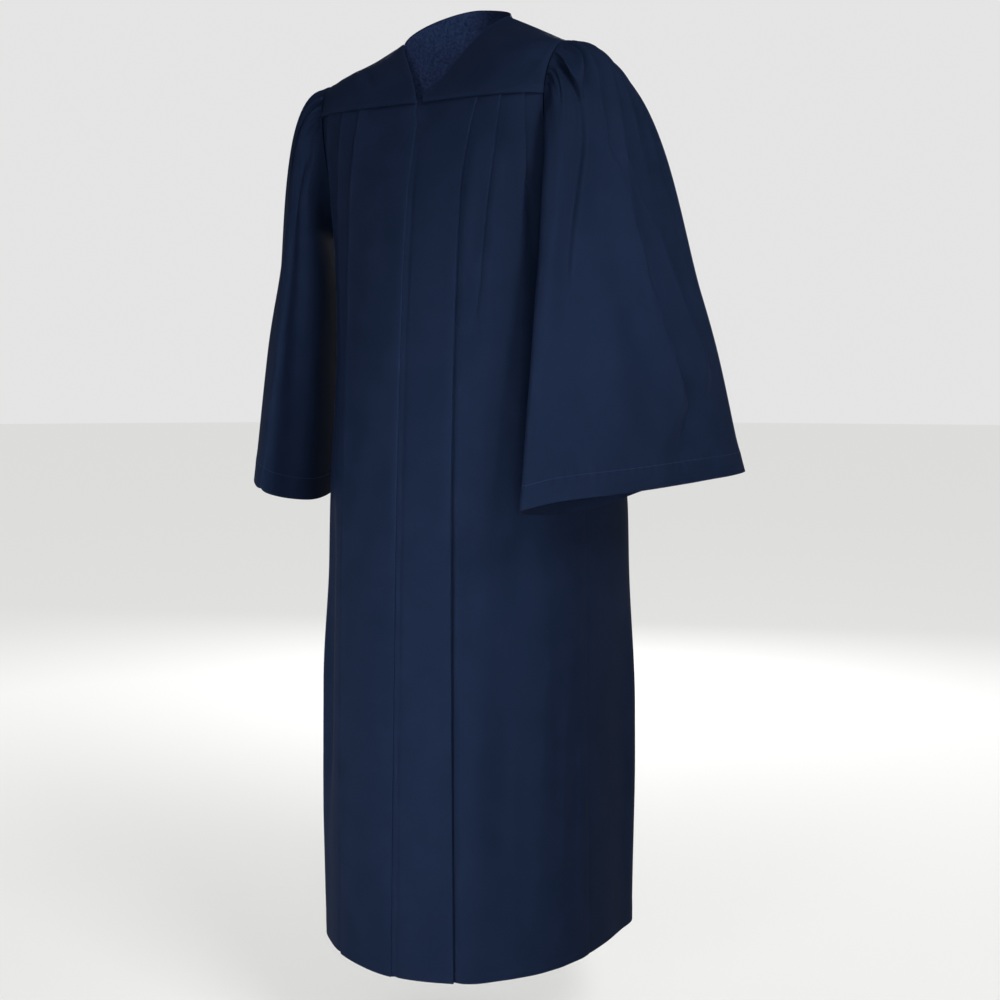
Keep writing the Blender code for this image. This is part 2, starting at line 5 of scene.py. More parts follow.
import bpy
import numpy as np
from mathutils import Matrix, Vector


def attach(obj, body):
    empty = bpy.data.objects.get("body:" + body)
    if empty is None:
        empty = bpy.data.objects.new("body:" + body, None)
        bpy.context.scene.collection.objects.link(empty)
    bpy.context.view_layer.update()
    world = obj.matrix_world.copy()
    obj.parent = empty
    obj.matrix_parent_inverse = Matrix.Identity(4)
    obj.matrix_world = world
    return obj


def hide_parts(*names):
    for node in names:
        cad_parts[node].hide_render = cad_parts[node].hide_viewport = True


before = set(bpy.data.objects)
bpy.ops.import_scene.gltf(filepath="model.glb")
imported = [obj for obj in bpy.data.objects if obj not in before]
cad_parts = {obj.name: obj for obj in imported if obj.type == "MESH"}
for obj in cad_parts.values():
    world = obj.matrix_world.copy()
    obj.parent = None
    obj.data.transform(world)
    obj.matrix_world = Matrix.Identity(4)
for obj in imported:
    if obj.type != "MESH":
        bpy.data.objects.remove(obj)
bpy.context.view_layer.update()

# ---- The back panel ---------------------------------------------------------------------------
# One width of navy gabardine from side seam to side seam. It is set into the back yoke in two knife
# pleats on each side of its centre, pressed flat at the top, which open into deep flutes lower down.

# The cloth of all the outer pieces: dull navy polyester gabardine, woven from 0.2 mm threads in a steep
# twill and heat set. It is smooth and heavy, so it falls in long clean folds, with a soft sheen where it
# turns to the light.
CLOTH_THICK = 0.0009
TURNED_THICK = 0.0017  # where an edge is turned up and lies double
TWILL_PITCH = 0.0009  # drawn three times as coarse as it is, so that it shows close to
CLOTH_NAVY = "#0e1525"
CLOTH_DEEP = "#0a1220"
CLOTH_PAINTED_SHEEN = "#22324f"  # painted sheen: a lighter navy laid along ironed edges, where an iron has flattened and polished the threads
PAINTED_SHEEN_SHARE = 0.08  # how much of that painted sheen an ironed edge takes


def linear(code):
    """An sRGB hex colour as linear red, green, blue and alpha 1."""
    value = np.array([int(code[k:k + 2], 16) / 255 for k in (1, 3, 5)])
    value = np.where(value <= 0.04045, value / 12.92, ((value + 0.055) / 1.055) ** 2.4)
    return (*map(float, value), 1.0)


def add(tree, kind, settings=None, **links):
    """Adds a node of that kind. settings are its own, or sockets by name or number; links are sockets
    by name, with _ for a space, each from another node's first output or from a socket."""
    node = tree.nodes.new("ShaderNode" + kind)
    for name, value in (settings or {}).items():
        if isinstance(name, str) and hasattr(node, name):
            setattr(node, name, value)
        else:
            node.inputs[name].default_value = value
    for name, source in links.items():
        socket = int(name[1:]) if name[1:].isdigit() else name.replace("_", " ")
        tree.links.new(getattr(source, "outputs", [source])[0], node.inputs[socket])
    return node


def ranged(tree, value, low, high, start=0.3, end=0.7):
    """A value from start to end, read as low to high. A noise lies mostly between 0.3 and 0.7."""
    limits = {"From Min": start, "From Max": end, "To Min": low, "To Max": high}
    return add(tree, "MapRange", limits, Value=value)


def new_material(name):
    """A material with no nodes yet, and its tree."""
    material = bpy.data.materials.new(name)
    material.use_nodes = True
    material.node_tree.nodes.clear()
    return material, material.node_tree


def placed(name, data):
    """A new object in the scene that holds data."""
    thing = bpy.data.objects.new(name, data)
    bpy.context.scene.collection.objects.link(thing)
    return thing


def gabardine():
    """The cloth's material: a fine twill in the bump, faint unevenness of the dye, small soft creases
    from handling, and ironed edges that are a little smoother and painted a lighter navy as sheen."""
    material, tree = new_material("navy_gabardine")
    cut = add(tree, "UVMap", {"uv_map": "cut"})
    place = add(tree, "TexCoord").outputs["Object"]
    pressed = add(tree, "Attribute", {"attribute_name": "pressed"}).outputs["Fac"]
    steep = add(tree, "Mapping", {"Rotation": (0, 0, 1.1), "Scale": (1 / TWILL_PITCH,) * 3}, Vector=cut)
    twill = add(tree, "TexWave", {
        "wave_profile": "SIN", "Scale": 0.5, "Distortion": 0.6, "Detail": 1.0}, Vector=steep)
    slub = add(tree, "TexNoise", {"Scale": 420.0, "Detail": 3.0, "Roughness": 0.6}, Vector=place)
    dye = add(tree, "TexNoise", {"Scale": 26.0, "Detail": 4.0, "Roughness": 0.55}, Vector=place)
    shade = add(tree, "MixRGB", {
        "Color1": linear(CLOTH_DEEP), "Color2": linear(CLOTH_NAVY)}, Fac=ranged(tree, dye, 0.25, 1.0))
    # painted sheen: along ironed edges the colour is mixed towards a lighter navy
    ironed_sheen = add(tree, "Math", {"operation": "MULTIPLY", 1: PAINTED_SHEEN_SHARE}, _0=pressed)
    shade = add(tree, "MixRGB", {"Color2": linear(CLOTH_PAINTED_SHEEN)}, Color1=shade, Fac=ironed_sheen)
    fibre = ranged(tree, slub, 0.94, 1.06)
    colour = add(tree, "VectorMath", {"operation": "SCALE"}, _0=shade, Scale=fibre)
    long_way = add(tree, "Mapping", {"Scale": (1.0, 0.35, 1.0)}, Vector=cut)
    handling = add(tree, "TexNoise", {
        "Scale": 34.0, "Detail": 3.0, "Roughness": 0.5, "Distortion": 0.4}, Vector=long_way)
    soft = add(tree, "Bump", {"Strength": 0.35, "Distance": 0.0010}, Height=handling)
    weave = add(tree, "Bump", {"Strength": 0.30, "Distance": 0.0001}, Height=twill, Normal=soft)
    nap = add(tree, "Bump", {"Strength": 0.25, "Distance": 0.0002}, Height=slub, Normal=weave)
    rough = ranged(tree, pressed, 0.60, 0.50, 0.0, 1.0)
    surface = add(tree, "BsdfPrincipled", {
        "Metallic": 0.0, "IOR": 1.5, "Specular IOR Level": 0.01, "Specular Tint": linear("#8fa6d8"),
        "Sheen Weight": 0.012, "Sheen Roughness": 0.45, "Sheen Tint": linear("#5f7fd0"),
    }, Base_Color=colour, Roughness=rough, Normal=nap)
    add(tree, "OutputMaterial", Surface=surface)
    return material


NAVY = gabardine()


def unit(vectors):
    """Vectors made one long."""
    return vectors / np.maximum(np.linalg.norm(vectors, axis=-1), 1e-12)[..., None]


def distance(points, axis):
    """How far each point lies from the first along an axis of the array, in metres."""
    step = np.linalg.norm(np.diff(points, axis=axis), axis=-1)
    return np.cumsum(np.insert(step, 0, 0.0, axis=axis), axis=axis)


def quads(grid):
    """The four corners of each square of a grid, in order round it."""
    return np.stack([grid[:-1, :-1], grid[:-1, 1:], grid[1:, 1:], grid[1:, :-1]], 2)


EDGE_ROW = 0.0008  # a row this near each raw edge keeps its rounding narrow


def edged(grid, axis):
    """The grid with one more row of points just inside each end of an axis."""
    g = np.moveaxis(grid, axis, 0)
    near = []
    for last, second in ((0, 1), (-1, -2)):
        gap = np.linalg.norm(g[last, ..., :3] - g[second, ..., :3], axis=-1).mean()
        near.append(g[last] + (g[second] - g[last]) * min(EDGE_ROW / gap, 0.5))
    return np.moveaxis(np.concatenate([g[:1], near[:1], g[1:-1], near[1:], g[-1:]]), 0, axis)


def cloth(name, grid, material=NAVY, around=False, pressed=0.0, double=None):
    """A piece of cloth on a grid of points (rows, columns, xyz), closed into a tube if around is set.
    Its UV map `cut` is in metres on the flat cloth. pressed, from 0 to 1, marks ironed edges, which
    are smoother and painted a lighter navy as sheen, and double, from 0 to 1, marks where an edge is
    turned up and the cloth lies double."""
    marked = double is not None
    marks = [np.broadcast_to(mark, grid.shape[:2]) for mark in (pressed, double if marked else 0.0)]
    grid = np.dstack([grid, *marks])
    grid = edged(grid, 0) if around else edged(edged(grid, 0), 1)
    grid, pressed, double = grid[..., :3], grid[..., 3], grid[..., 4]
    index = np.arange(pressed.size).reshape(pressed.shape)
    closed = grid
    if around:
        index, closed = (np.concatenate([v, v[:, :1]], 1) for v in (index, grid))
    faces = quads(index).reshape(-1, 4)
    mesh = bpy.data.meshes.new(name)
    mesh.vertices.add(pressed.size)
    mesh.vertices.foreach_set("co", grid.astype(np.float32).ravel())
    mesh.loops.add(faces.size)
    mesh.loops.foreach_set("vertex_index", faces.astype(np.int32).ravel())
    mesh.polygons.add(len(faces))
    mesh.polygons.foreach_set("loop_start", np.arange(0, faces.size, 4, dtype=np.int32))
    mesh.polygons.foreach_set("loop_total", np.full(len(faces), 4, dtype=np.int32))
    mesh.update(calc_edges=True)
    mesh.shade_smooth()
    flat = np.stack(np.meshgrid(distance(closed, 1).mean(0), distance(grid, 0).mean(1)), -1)
    mesh.uv_layers.new(name="cut").data.foreach_set("uv", quads(flat).astype(np.float32).ravel())
    # the ironing marks, which set the roughness and a painted sheen
    shine = mesh.attributes.new("pressed", "FLOAT", "POINT")
    shine.data.foreach_set("value", pressed.astype(np.float32).ravel())
    mesh.materials.append(material)
    piece = placed(name, mesh)
    wall = piece.modifiers.new("wall", "SOLIDIFY")
    wall.offset = 0.0
    wall.thickness = CLOTH_THICK
    if marked:
        wall.thickness = TURNED_THICK
        layers = piece.vertex_groups.new(name="double")
        single = CLOTH_THICK / TURNED_THICK
        weights = np.round(single + (1 - single) * double.ravel(), 2)
        for weight in np.unique(weights):
            layers.add(np.flatnonzero(weights == weight).tolist(), float(weight), "REPLACE")
        wall.vertex_group = "double"
    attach(piece, "root")
    return piece


HEM_Z = -1.295
HEM_TURN = 0.034  # the hem is turned up by this much
HEM_FADE = 0.02  # and thins out over this
BACK_SEAM_Z = -0.150  # the lower edge of the back yoke
TUCK = 0.005  # the panels go on up under the yokes by this much
SEAM = 0.0003  # between pieces that are sewn together
LAYER = 0.0013  # from one layer of a pleat to the next
TURN = 0.00065  # radius of a pleat's fold
OPEN_STEP = 0.018  # how wide the step is that an opened pleat becomes


def table(names, rows):
    """A short table with named columns, in the order of its first column. A column whose name ends in
    _mm is in millimetres, and is held in metres under the rest of its name."""
    values = np.array(sorted(rows), float)
    return {name.removesuffix("_mm"): values[:, k] * (0.001 if name.endswith("_mm") else 1.0)
            for k, name in enumerate(names.split())}


def cubic(start, end, leave, arrive, t):
    """The Hermite cubic from start to end, with the tangents leave and arrive."""
    return (start * (1 + 2 * t) * (1 - t) ** 2 + leave * t * (1 - t) ** 2
            + end * t * t * (3 - 2 * t) + arrive * t * t * (t - 1))


def along(rows, column, at):
    """A column of a table read at `at`, by a cubic that goes through each row and never overshoots it."""
    x, y = list(rows.values())[0], rows[column]
    width = np.diff(x)
    rise = np.diff(y) / width
    before, after = 2 * width[1:] + width[:-1], width[1:] + 2 * width[:-1]
    same_way = rise[:-1] * rise[1:] > 0
    safe = np.where(rise == 0, 1.0, rise)
    slope = np.where(same_way, (before + after) / (before / safe[:-1] + after / safe[1:]), 0.0)
    slope = np.concatenate([rise[:1], slope, rise[-1:]])
    at = np.clip(np.asarray(at, float), x[0], x[-1])
    k = np.clip(np.searchsorted(x, at, side="right") - 1, 0, len(width) - 1)
    return cubic(y[k], y[k + 1], slope[k] * width[k], slope[k + 1] * width[k], (at - x[k]) / width[k])


def ease(t):
    """From 0 to 1 with no slope at either end."""
    t = np.clip(t, 0, 1)
    return t * t * (3 - 2 * t)


def bell(away, width):
    """A bell curve: 1 at away = 0, and 1/e at width."""
    return np.exp(-(away / width) ** 2)


def spans(*parts):
    """Numbers in even spans, each (first, last, count), where a span begins at the end of the last."""
    return np.concatenate([np.linspace(*part)[:-1] for part in parts] + [[parts[-1][1]]])


# Half of the body in plan, from the centre line to the side seam, or where it would go on upwards.
# heading: the way the cloth runs at the side seam, in degrees from +X. full_*: how far each end bulges.
PLAN_COLUMNS = "z_mm centre_y_mm heading full_centre full_side"
PLAN = {
    "front": table(PLAN_COLUMNS, [
        (-105, -81, 107, 0.88, 1.59), (-117, -85, 106, 0.885, 1.57), (-160, -98, 99, 0.955, 1.43),
        (-205, -109, 95, 0.96, 1.24), (-252, -119, 92, 0.93, 1.12), (-450, -136, 88, 0.86, 0.95),
        (-700, -148, 88, 0.9, 1), (-1000, -156, 88, 0.87, 0.99), (-1295, -162, 88, 0.78, 0.96)]),
    "back": table(PLAN_COLUMNS, [
        (-130, 111, 81, 0.84, 0.92), (-165, 117.1, 89, 0.965, 1.2), (-205, 125, 92, 1.04, 1.35),
        (-252, 140, 91, 1.08, 1.37), (-450, 225, 86, 1.18, 1.35), (-700, 285, 82, 1.27, 1.52),
        (-1000, 295, 83, 1.27, 1.5), (-1295, 300, 84, 1.25, 1.46)]),
}
SIDE_SEAM = table("z_mm x_mm y_mm", [
    (-252, 189, 30), (-305, 186, 30), (-445, 185, 32), (-700, 194.5, 36), (-1295, 200, 40)])
# Each armhole is a loop on the shoulder. lean tips its top towards the front.
ARMHOLE = {
    "left": dict(x=0.1830, y=0.012, z=-0.148, half_depth=0.070, half_height=0.104, lean=0.018),
    "right": dict(x=0.1830, y=0.012, z=-0.163, half_depth=0.070, half_height=0.096, lean=0.018),
}
ARMHOLE_WAVE = 0.006  # its top and foot lie this much further out than its front and back
MIRROR = {"left": np.array([1.0, 1.0, 1.0]), "right": np.array([-1.0, 1.0, 1.0])}
FACING = {"front": -1, "back": 1}


def armhole(side, angle):
    """A point of the armhole loop, drawn on the left: an ellipse that leans. Angle 0 is its top,
    -pi/2 its front and pi its foot."""
    hole = ARMHOLE[side]
    cos, sin = np.cos(angle), np.sin(angle)
    return np.stack([
        hole["x"] + ARMHOLE_WAVE * np.cos(2 * angle),
        hole["y"] + hole["half_depth"] * sin - hole["lean"] * cos,
        hole["z"] + hole["half_height"] * cos], -1)


EDGE_BLEND = 0.06  # a panel bends this far in from its armhole to meet it
FULL = 1.25  # a bulge of 1 is a tangent this many times as long as the straight line


def half_plan(side, face, z, steps=160):
    """Half of the front or the back in plan at each height z: a Hermite cubic from the centre line to
    the side seam. It runs as if to a side seam all the way up, and the armhole cuts it off. Returns
    points, arc lengths and outward normals."""
    hole, plan, way = ARMHOLE[side], PLAN[face], FACING[face]
    seam = np.stack([along(SIDE_SEAM, "x", z), along(SIDE_SEAM, "y", z)], -1)
    centre = np.stack([np.zeros_like(z), along(plan, "centre_y", z)], -1)
    heading = np.radians(along(plan, "heading", z))
    span = FULL * np.linalg.norm(seam - centre, axis=1)[:, None]
    leave = span * along(plan, "full_centre", z)[:, None] * np.array([1.0, 0.0])
    towards = np.stack([np.cos(heading), np.sin(heading)], -1) * -way
    arrive = span * along(plan, "full_side", z)[:, None] * towards
    ends = [v[:, None] for v in (centre, seam, leave, arrive)]
    t = np.linspace(0, 1, steps)[None, :, None]
    line = cubic(*ends, t)
    cos = (z - hole["z"]) / hole["half_height"]
    edge = armhole(side, way * np.arccos(np.clip(cos, -1, 1)))[:, :2]
    cut = np.where((cos > -1)[:, None], edge, seam)
    share = [np.interp(-way * y, -way * row, t[0, :, 0]) for y, row in zip(cut[:, 1], line[..., 1])]
    line = cubic(*ends, t * np.array(share)[:, None, None])
    to_edge = np.linalg.norm(line - line[:, -1:], axis=2)[..., None]
    line = line + (cut[:, None] - line[:, -1:]) * ease(1 - to_edge / EDGE_BLEND)
    run = unit(np.gradient(line, axis=1))
    return line, distance(line, 1), np.stack([run[..., 1], -run[..., 0]], -1) * -way


def body_points(side, face, z, arcs, offsets):
    """Points of a body panel, a row for each height z, `arcs` along the half plan and `offsets` out of
    it. A negative arc lies past the centre line."""
    line, arc, out = half_plan(side, face, z)
    line, out = (np.stack([
        [np.interp(np.abs(a), s, w) for a, s, w in zip(arcs, arc, part[..., k])] for k in (0, 1)], -1)
        for part in (line, out))
    x, y = np.moveaxis(line + unit(out) * offsets[..., None], -1, 0)
    heights = np.broadcast_to(z[:, None], x.shape)
    return np.stack([np.where(arcs < 0, -x, x), y, heights], -1) * MIRROR[side]


def knife_pleat(pleat, z):
    """One knife pleat as arcs, offsets and how far it is ironed, which also sets its painted sheen, a row
    for each height z. Folded, it is two half circles joined by the return, and its upper layer stands up
    by roll; opened, it is an S-shaped step of 18 mm or more."""
    arc, lap, opened, step, roll = (
        along(pleat, name, z)[:, None] for name in ("arc", "lap", "open", "step", "roll"))
    turn = np.linspace(np.pi / 2, -np.pi / 2, 7)
    under = np.linspace(0, 1, 5)[None, 1:-1]
    folded = np.concatenate([
        np.ones_like(arc) * TURN * (np.cos(turn) - 1), -TURN + (2 * TURN - lap) * under,
        TURN - lap - TURN * np.cos(turn)], 1)
    levels = np.concatenate([1.5 + np.sin(turn) / 2, np.ones(3), 0.5 + np.sin(turn) / 2])
    q = np.linspace(0, 1, len(levels))
    soft = OPEN_STEP * (q - 0.5) * (1 + 1.5 * np.maximum(0, opened - 1))
    mix = ease(opened)
    arcs = arc + folded * (1 - mix) + soft * mix
    offsets = (levels * (1 - mix) + 2 * (1 - ease(q)) * mix) * step / 2
    offsets += roll * (np.maximum(0, levels - 1) * (1 - mix) + (1 - ease(q)) * mix)
    # the ironing mark, which carries a painted sheen, lies on the outer turn of a shut pleat
    return arcs, offsets, (1 - mix) * bell(np.arange(len(levels)) - 3, 3)


def roll_width(z):
    """How far back from a fold the cloth bends up to it: 5 mm where it is pressed, 14 mm at the foot."""
    return (0.005 + 0.009 * ease((-0.13 - z) / 0.75))[:, None]


FOLD_DIP = 0.0035  # how far the cloth sinks in beside a shut fold
DIP_WIDTH = 0.007
NO_FOLD = 0.0, 0.0  # no fold there: its place, and how shut it is


def fold_dip(arcs, fold, z):
    """Beyond a shut fold the cloth below it sinks in, and comes out again over 14 mm. fold: where the
    fold lies, and from 0 to 1 how shut it is."""
    edge, shut = fold
    away = (arcs - edge) / DIP_WIDTH
    deep = FOLD_DIP * shut * ease((-0.125 - z) / 0.12)[:, None]
    return -deep * np.exp(-np.where(away < 0, 0.3, 1.0) * away ** 2)


PRESSED_SHEEN_WIDTH = 0.006  # how far back from a fold the ironing mark, and its painted sheen, goes


def strip(before, after, count, z, roll, fold):
    """The cloth between two parts of a panel, each as arcs, offsets and how far it is ironed, with its
    painted sheen. It slopes up more and more steeply, and bends up by roll, as a decaying exponential,
    to the fold at its far end. fold: the last fold, for its dip."""
    arc, offset, _ = (part[:, -1:] for part in before)
    far_arc, far_offset, ironed_sheen = (part[:, :1] for part in after)
    t = 1 - (1 - np.linspace(0, 1, count + 2)[None, 1:-1]) ** 1.4
    arcs = arc + (far_arc - arc) * t
    bend = roll * np.exp(-(far_arc - arcs) / roll_width(z)) * ease((arcs - arc) / 0.012)
    offsets = offset + (far_offset - roll - offset) * t ** 1.7 + bend
    offsets += fold_dip(arcs, fold, z) * ease((1 - t) / 0.4)
    # the ironing mark and its painted sheen reach back from the fold at the far end
    return arcs, offsets, ironed_sheen * bell(far_arc - arcs, PRESSED_SHEEN_WIDTH)


def folds(rows, z, arcs):
    """Soft folds, as an offset: each runs along a leaning line from top to foot, has the section of a
    bell curve, and dies away at its ends."""
    total = np.zeros_like(arcs)
    for top_z, top_arc, low_z, low_arc, half_width, height in zip(*rows.values()):
        t = (z[:, None] - top_z) / (low_z - top_z)
        middle = top_arc + (low_arc - top_arc) * t
        total += height * ease(t / 0.3) * ease((1.1 - t) / 0.3) * bell(arcs - middle, half_width)
    return total * (1 - 0.5 * ease((-1.05 - z) / 0.25))[:, None]


def uneven(arcs, z, seed):
    """The small unevenness of hanging cloth, within 1.2: four long waves that lean and don't repeat."""
    waves = [(31.0, 1.9, 0.40), (47.0, -3.1, 0.30), (83.0, 2.3, 0.18), (19.0, 5.3, 0.30)]
    return sum(size * np.sin(across * arcs + down * z[:, None] + seed * (k + 1.7))
               for k, (across, down, size) in enumerate(waves))


SEAM_SINK = 0.0005  # a seam's stitches draw the cloth in by this much
SINK_WIDTH = 0.004  # over this distance from the seam


def panel(side, face, z, first, fold, pleats, counts, rows, fade, wave):
    """Half of a body panel, as a grid and how far it is ironed, which also sets its painted sheen. From its
    first part it goes on by a strip and a pleat in turn, with counts points across each strip, and by a
    plain strip to its side seam. The folds in rows and its waves, each (height, seed, top), die out over
    fade at that seam."""
    parts = [first]
    for pleat, count in zip(pleats, counts):
        pleated = knife_pleat(pleat, z)
        roll = along(pleat, "roll", z)[:, None]
        parts += [strip(parts[-1], pleated, count, z, roll, fold), pleated]
        fold = along(pleat, "arc", z)[:, None], 1 - ease(along(pleat, "open", z))[:, None]
    start, end = parts[-1][0][:, -1:], half_plan(side, face, z)[1][:, -1:]
    last = start + (end - start) * np.linspace(0, 1, counts[-1] + 1)[None, 1:]
    parts.append((last, fold_dip(last, fold, z), np.zeros_like(last)))
    arcs, offsets, ironed_sheen = (np.concatenate(column, 1) for column in zip(*parts))
    height, seed, top = wave
    waves = height * uneven(arcs, z, seed) * ease((top - z) / 0.2)[:, None]
    offsets += (folds(rows, z, arcs) + waves) * ease((end - arcs) / fade)
    offsets -= SEAM_SINK * bell(end - arcs, SINK_WIDTH)
    return body_points(side, face, z, arcs, offsets), ironed_sheen


def turned_up(z):
    """How double the cloth lies at each height z of a panel: its hem is turned up."""
    return ease((HEM_Z + HEM_TURN - z) / HEM_FADE)[:, None]


# A pleat down its panel: where its fold lies, how far it laps, how open it is (0 shut, 1 open, and more
# as it spreads), the height it steps up by, and how far its edge stands up besides.
PLEAT_COLUMNS = "z_mm arc_mm lap_mm open step_mm roll_mm"
STACK = 2000 * LAYER  # the height of a shut pleat, in mm
BACK_PLEATS = [
    table(PLEAT_COLUMNS, [
        (-145, 56, 13, 0, STACK, 0.2), (-180, 56.2, 13, 0, STACK, 0.9), (-300, 58, 12, 0, STACK, 2),
        (-700, 75, 6, 0, STACK, 4), (-950, 90, 4, 0.8, 3.4, 3), (-1295, 100, 4, 2.2, 2, 1)]),
    table(PLEAT_COLUMNS, [
        (-145, 108, 13, 0, STACK, 0.2), (-180, 109.2, 12, 0, STACK, 0.9), (-300, 115, 9, 0, STACK, 2),
        (-520, 130, 4, 0, STACK, 3.4), (-700, 155, 4, 1.2, 3, 1), (-1295, 195, 4, 2.6, 0.8, 0)]),
]
FOLD_COLUMNS = "top_z_mm top_arc_mm low_z_mm low_arc_mm half_width_mm height_mm"
BACK_FOLDS = table(FOLD_COLUMNS, [
    (-380, 22, -1500, 18, 26, -6), (-420, 70, -1500, 62, 24, 8), (-560, 104, -1500, 116, 24, -10),
    (-500, 150, -1500, 168, 26, 11), (-640, 190, -1500, 222, 26, -10), (-760, 240, -1500, 270, 24, 8),
    (-240, 142, -560, 128, 12, -2.2), (-260, 168, -700, 178, 14, 2.6), (-700, 36, -1400, 40, 10, 1.8),
    (-880, 132, -1420, 140, 10, -2)])
PLEAT_BASE = 0.0015  # how far the middle of the back stands out
back_z = spans((BACK_SEAM_Z + TUCK, -0.30, 34), (-0.30, HEM_Z, 130))


def back_half(side):
    """Half of the back: a flat strip from its centre line, then two pleats with a strip after each."""
    middle = np.zeros((len(back_z), 1))
    return panel(
        side, "back", back_z, (middle, middle + PLEAT_BASE, middle), NO_FOLD, BACK_PLEATS, (15, 20, 45),
        BACK_FOLDS, fade=0.04, wave=(0.0009, 2.0 if side == "left" else 5.0, -0.17))


def joined(right, left):
    """Two halves, each with columns from the centre line outwards, as one."""
    return np.concatenate([right[:, ::-1], left[:, 1:]], 1)


grid, ironed_sheen = (joined(*halves) for halves in zip(back_half("right"), back_half("left")))
back = cloth("back_cloth", grid, pressed=ironed_sheen, double=turned_up(back_z))
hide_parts("back")

# ---- The two fronts ---------------------------------------------------------------------------
# Each is set into its yoke in three knife pleats. The right front's edge is folded under and laps
# over the left front, which goes on beneath it for the zip. The closure is open for its first 25 mm.

FRONT_SEAM_Z = -0.122  # the lower edge of the front yokes
UNDERLAP = 0.012  # the left front goes on under the right front by this
UNDERLAP_END = 0.005  # and is flat to here, on its own side
OVERLAP = 0.0035  # the right front's folded edge lies this far past the centre line
FACING_WIDE = 0.018  # and goes on this far beneath it
SLIT_HALF = 0.0022  # the closure is open at its top, by twice this
SLIT_END_Z = -0.143
SLIT_EASE = 0.018  # and comes together over this
TONGUE = 0.004  # behind the open part the underlap narrows by this, and shows as a small tab
FRONT_PLEATS = {
    "left": [
        table(PLEAT_COLUMNS, [
            (-117, 95, 14, 0, STACK, 0.2), (-145, 90.5, 14, 0, STACK, 0.9), (-240, 80, 13, 0, STACK, 1.4),
            (-450, 78, 11, 0, STACK, 1.9), (-800, 82, 9, 0, STACK, 1.8), (-1000, 85, 8, 0, 2.2, 0.8),
            (-1295, 89, 6, 0, 1.9, 0)]),
        table(PLEAT_COLUMNS, [
            (-117, 128, 13, 0, STACK, 0.2), (-145, 126.2, 12, 0, STACK, 0.9),
            (-210, 121, 10, 0, STACK, 1.4), (-360, 111, 5, 0, STACK, 1.8), (-440, 110, 4, 0.8, 2.4, 1),
            (-520, 112, 4, 1.2, 1.2, 0), (-800, 124, 4, 1.8, 0.4, 0), (-1295, 130, 4, 2, 0.4, 0)]),
        table(PLEAT_COLUMNS, [
            (-117, 159, 12, 0, STACK, 0.2), (-145, 160.5, 11, 0, STACK, 1), (-200, 164, 7, 0, STACK, 1.8),
            (-260, 168, 4, 0.5, 2.8, 1.4), (-330, 172, 4, 1, 2.4, 0.4), (-600, 180, 4, 1.6, 1, 0),
            (-1295, 193, 4, 2, 0.4, 0)]),
    ],
    "right": [
        table(PLEAT_COLUMNS, [
            (-117, 94, 14, 0, STACK, 0.2), (-145, 96, 14, 0, STACK, 0.9), (-240, 102, 13, 0, STACK, 1.4),
            (-450, 107, 11, 0, STACK, 1.8), (-700, 102, 8, 0, 2.2, 0.4), (-1295, 102, 4, 0, 1.2, 0)]),
        table(PLEAT_COLUMNS, [
            (-117, 125, 13, 0, STACK, 0.2), (-145, 127.2, 12, 0, STACK, 0.9),
            (-200, 132, 10, 0, STACK, 1.8), (-300, 138, 5, 0, STACK, 2.4), (-400, 141, 4, 0.8, 3.2, 1.8),
            (-560, 144, 4, 1.2, 2.2, 0.4), (-800, 148, 4, 1.8, 1, 0), (-1295, 150, 4, 2, 0.4, 0)]),
        table(PLEAT_COLUMNS, [
            (-117, 156, 12, 0, STACK, 0.2), (-145, 158.6, 11, 0, STACK, 1.2),
            (-190, 164, 7, 0, STACK, 2.2), (-250, 170, 4, 0.6, 3.4, 1.8), (-330, 176, 4, 1, 2.2, 0.4),
            (-600, 190, 4, 1.6, 1, 0), (-1295, 210, 4, 2, 0.4, 0)]),
    ],
}
FRONT_FOLDS = {
    "left": table(FOLD_COLUMNS, [
        (-400, 98, -1000, 104, 15, -3), (-760, 112, -1560, 118, 24, 8), (-560, 172, -1250, 158, 18, -2),
        (-860, 190, -1500, 176, 16, -2), (-520, 206, -1100, 216, 26, 2.4),
        (-800, 240, -1450, 232, 20, -2.6), (-900, 280, -1450, 262, 18, -3.4),
        (-170, 140, -420, 136, 10, -2.7), (-180, 110, -360, 98, 9, -1.9), (-240, 176, -700, 160, 16, 4)]),
    "right": table(FOLD_COLUMNS, [
        (-620, 150, -1100, 160, 18, -5.4), (-760, 190, -1340, 178, 20, 6.8),
        (-860, 236, -1340, 222, 20, -8.1), (-740, 272, -1330, 266, 20, 6.8),
        (-160, 144, -380, 152, 10, -2.4), (-180, 112, -420, 122, 9, -1.9)]),
}
CLOSURE_ROLL = table("z_mm roll_mm", [
    (-117, 0.2), (-150, 0.6), (-300, 1.2), (-500, 1.4), (-700, 0.8), (-1295, 0.4)])
CLOSURE_LIFT = 0.0016  # the folded edge lies this far off the front beneath it, without its roll
CLOSURE_WIDTH = 0.06  # and comes down to its panel over this
FACING_UNDER = 0.0010  # the folded edge's under layer lies this far off the cloth beneath it
front_z = spans(
    (FRONT_SEAM_Z + TUCK, -0.1405, 6), (-0.1405, -0.1455, 5), (-0.1455, -0.30, 30), (-0.30, HEM_Z, 134))


def underlap(opened):
    """The left front's first part: a flat strip under the right front."""
    edge = -UNDERLAP + TONGUE * opened
    arcs = edge + (UNDERLAP_END - edge) * np.linspace(0, 1, 7)
    # an ironing mark, with its painted sheen, along its edge
    return arcs, np.zeros_like(arcs), np.exp(-(arcs - edge) / 0.003)


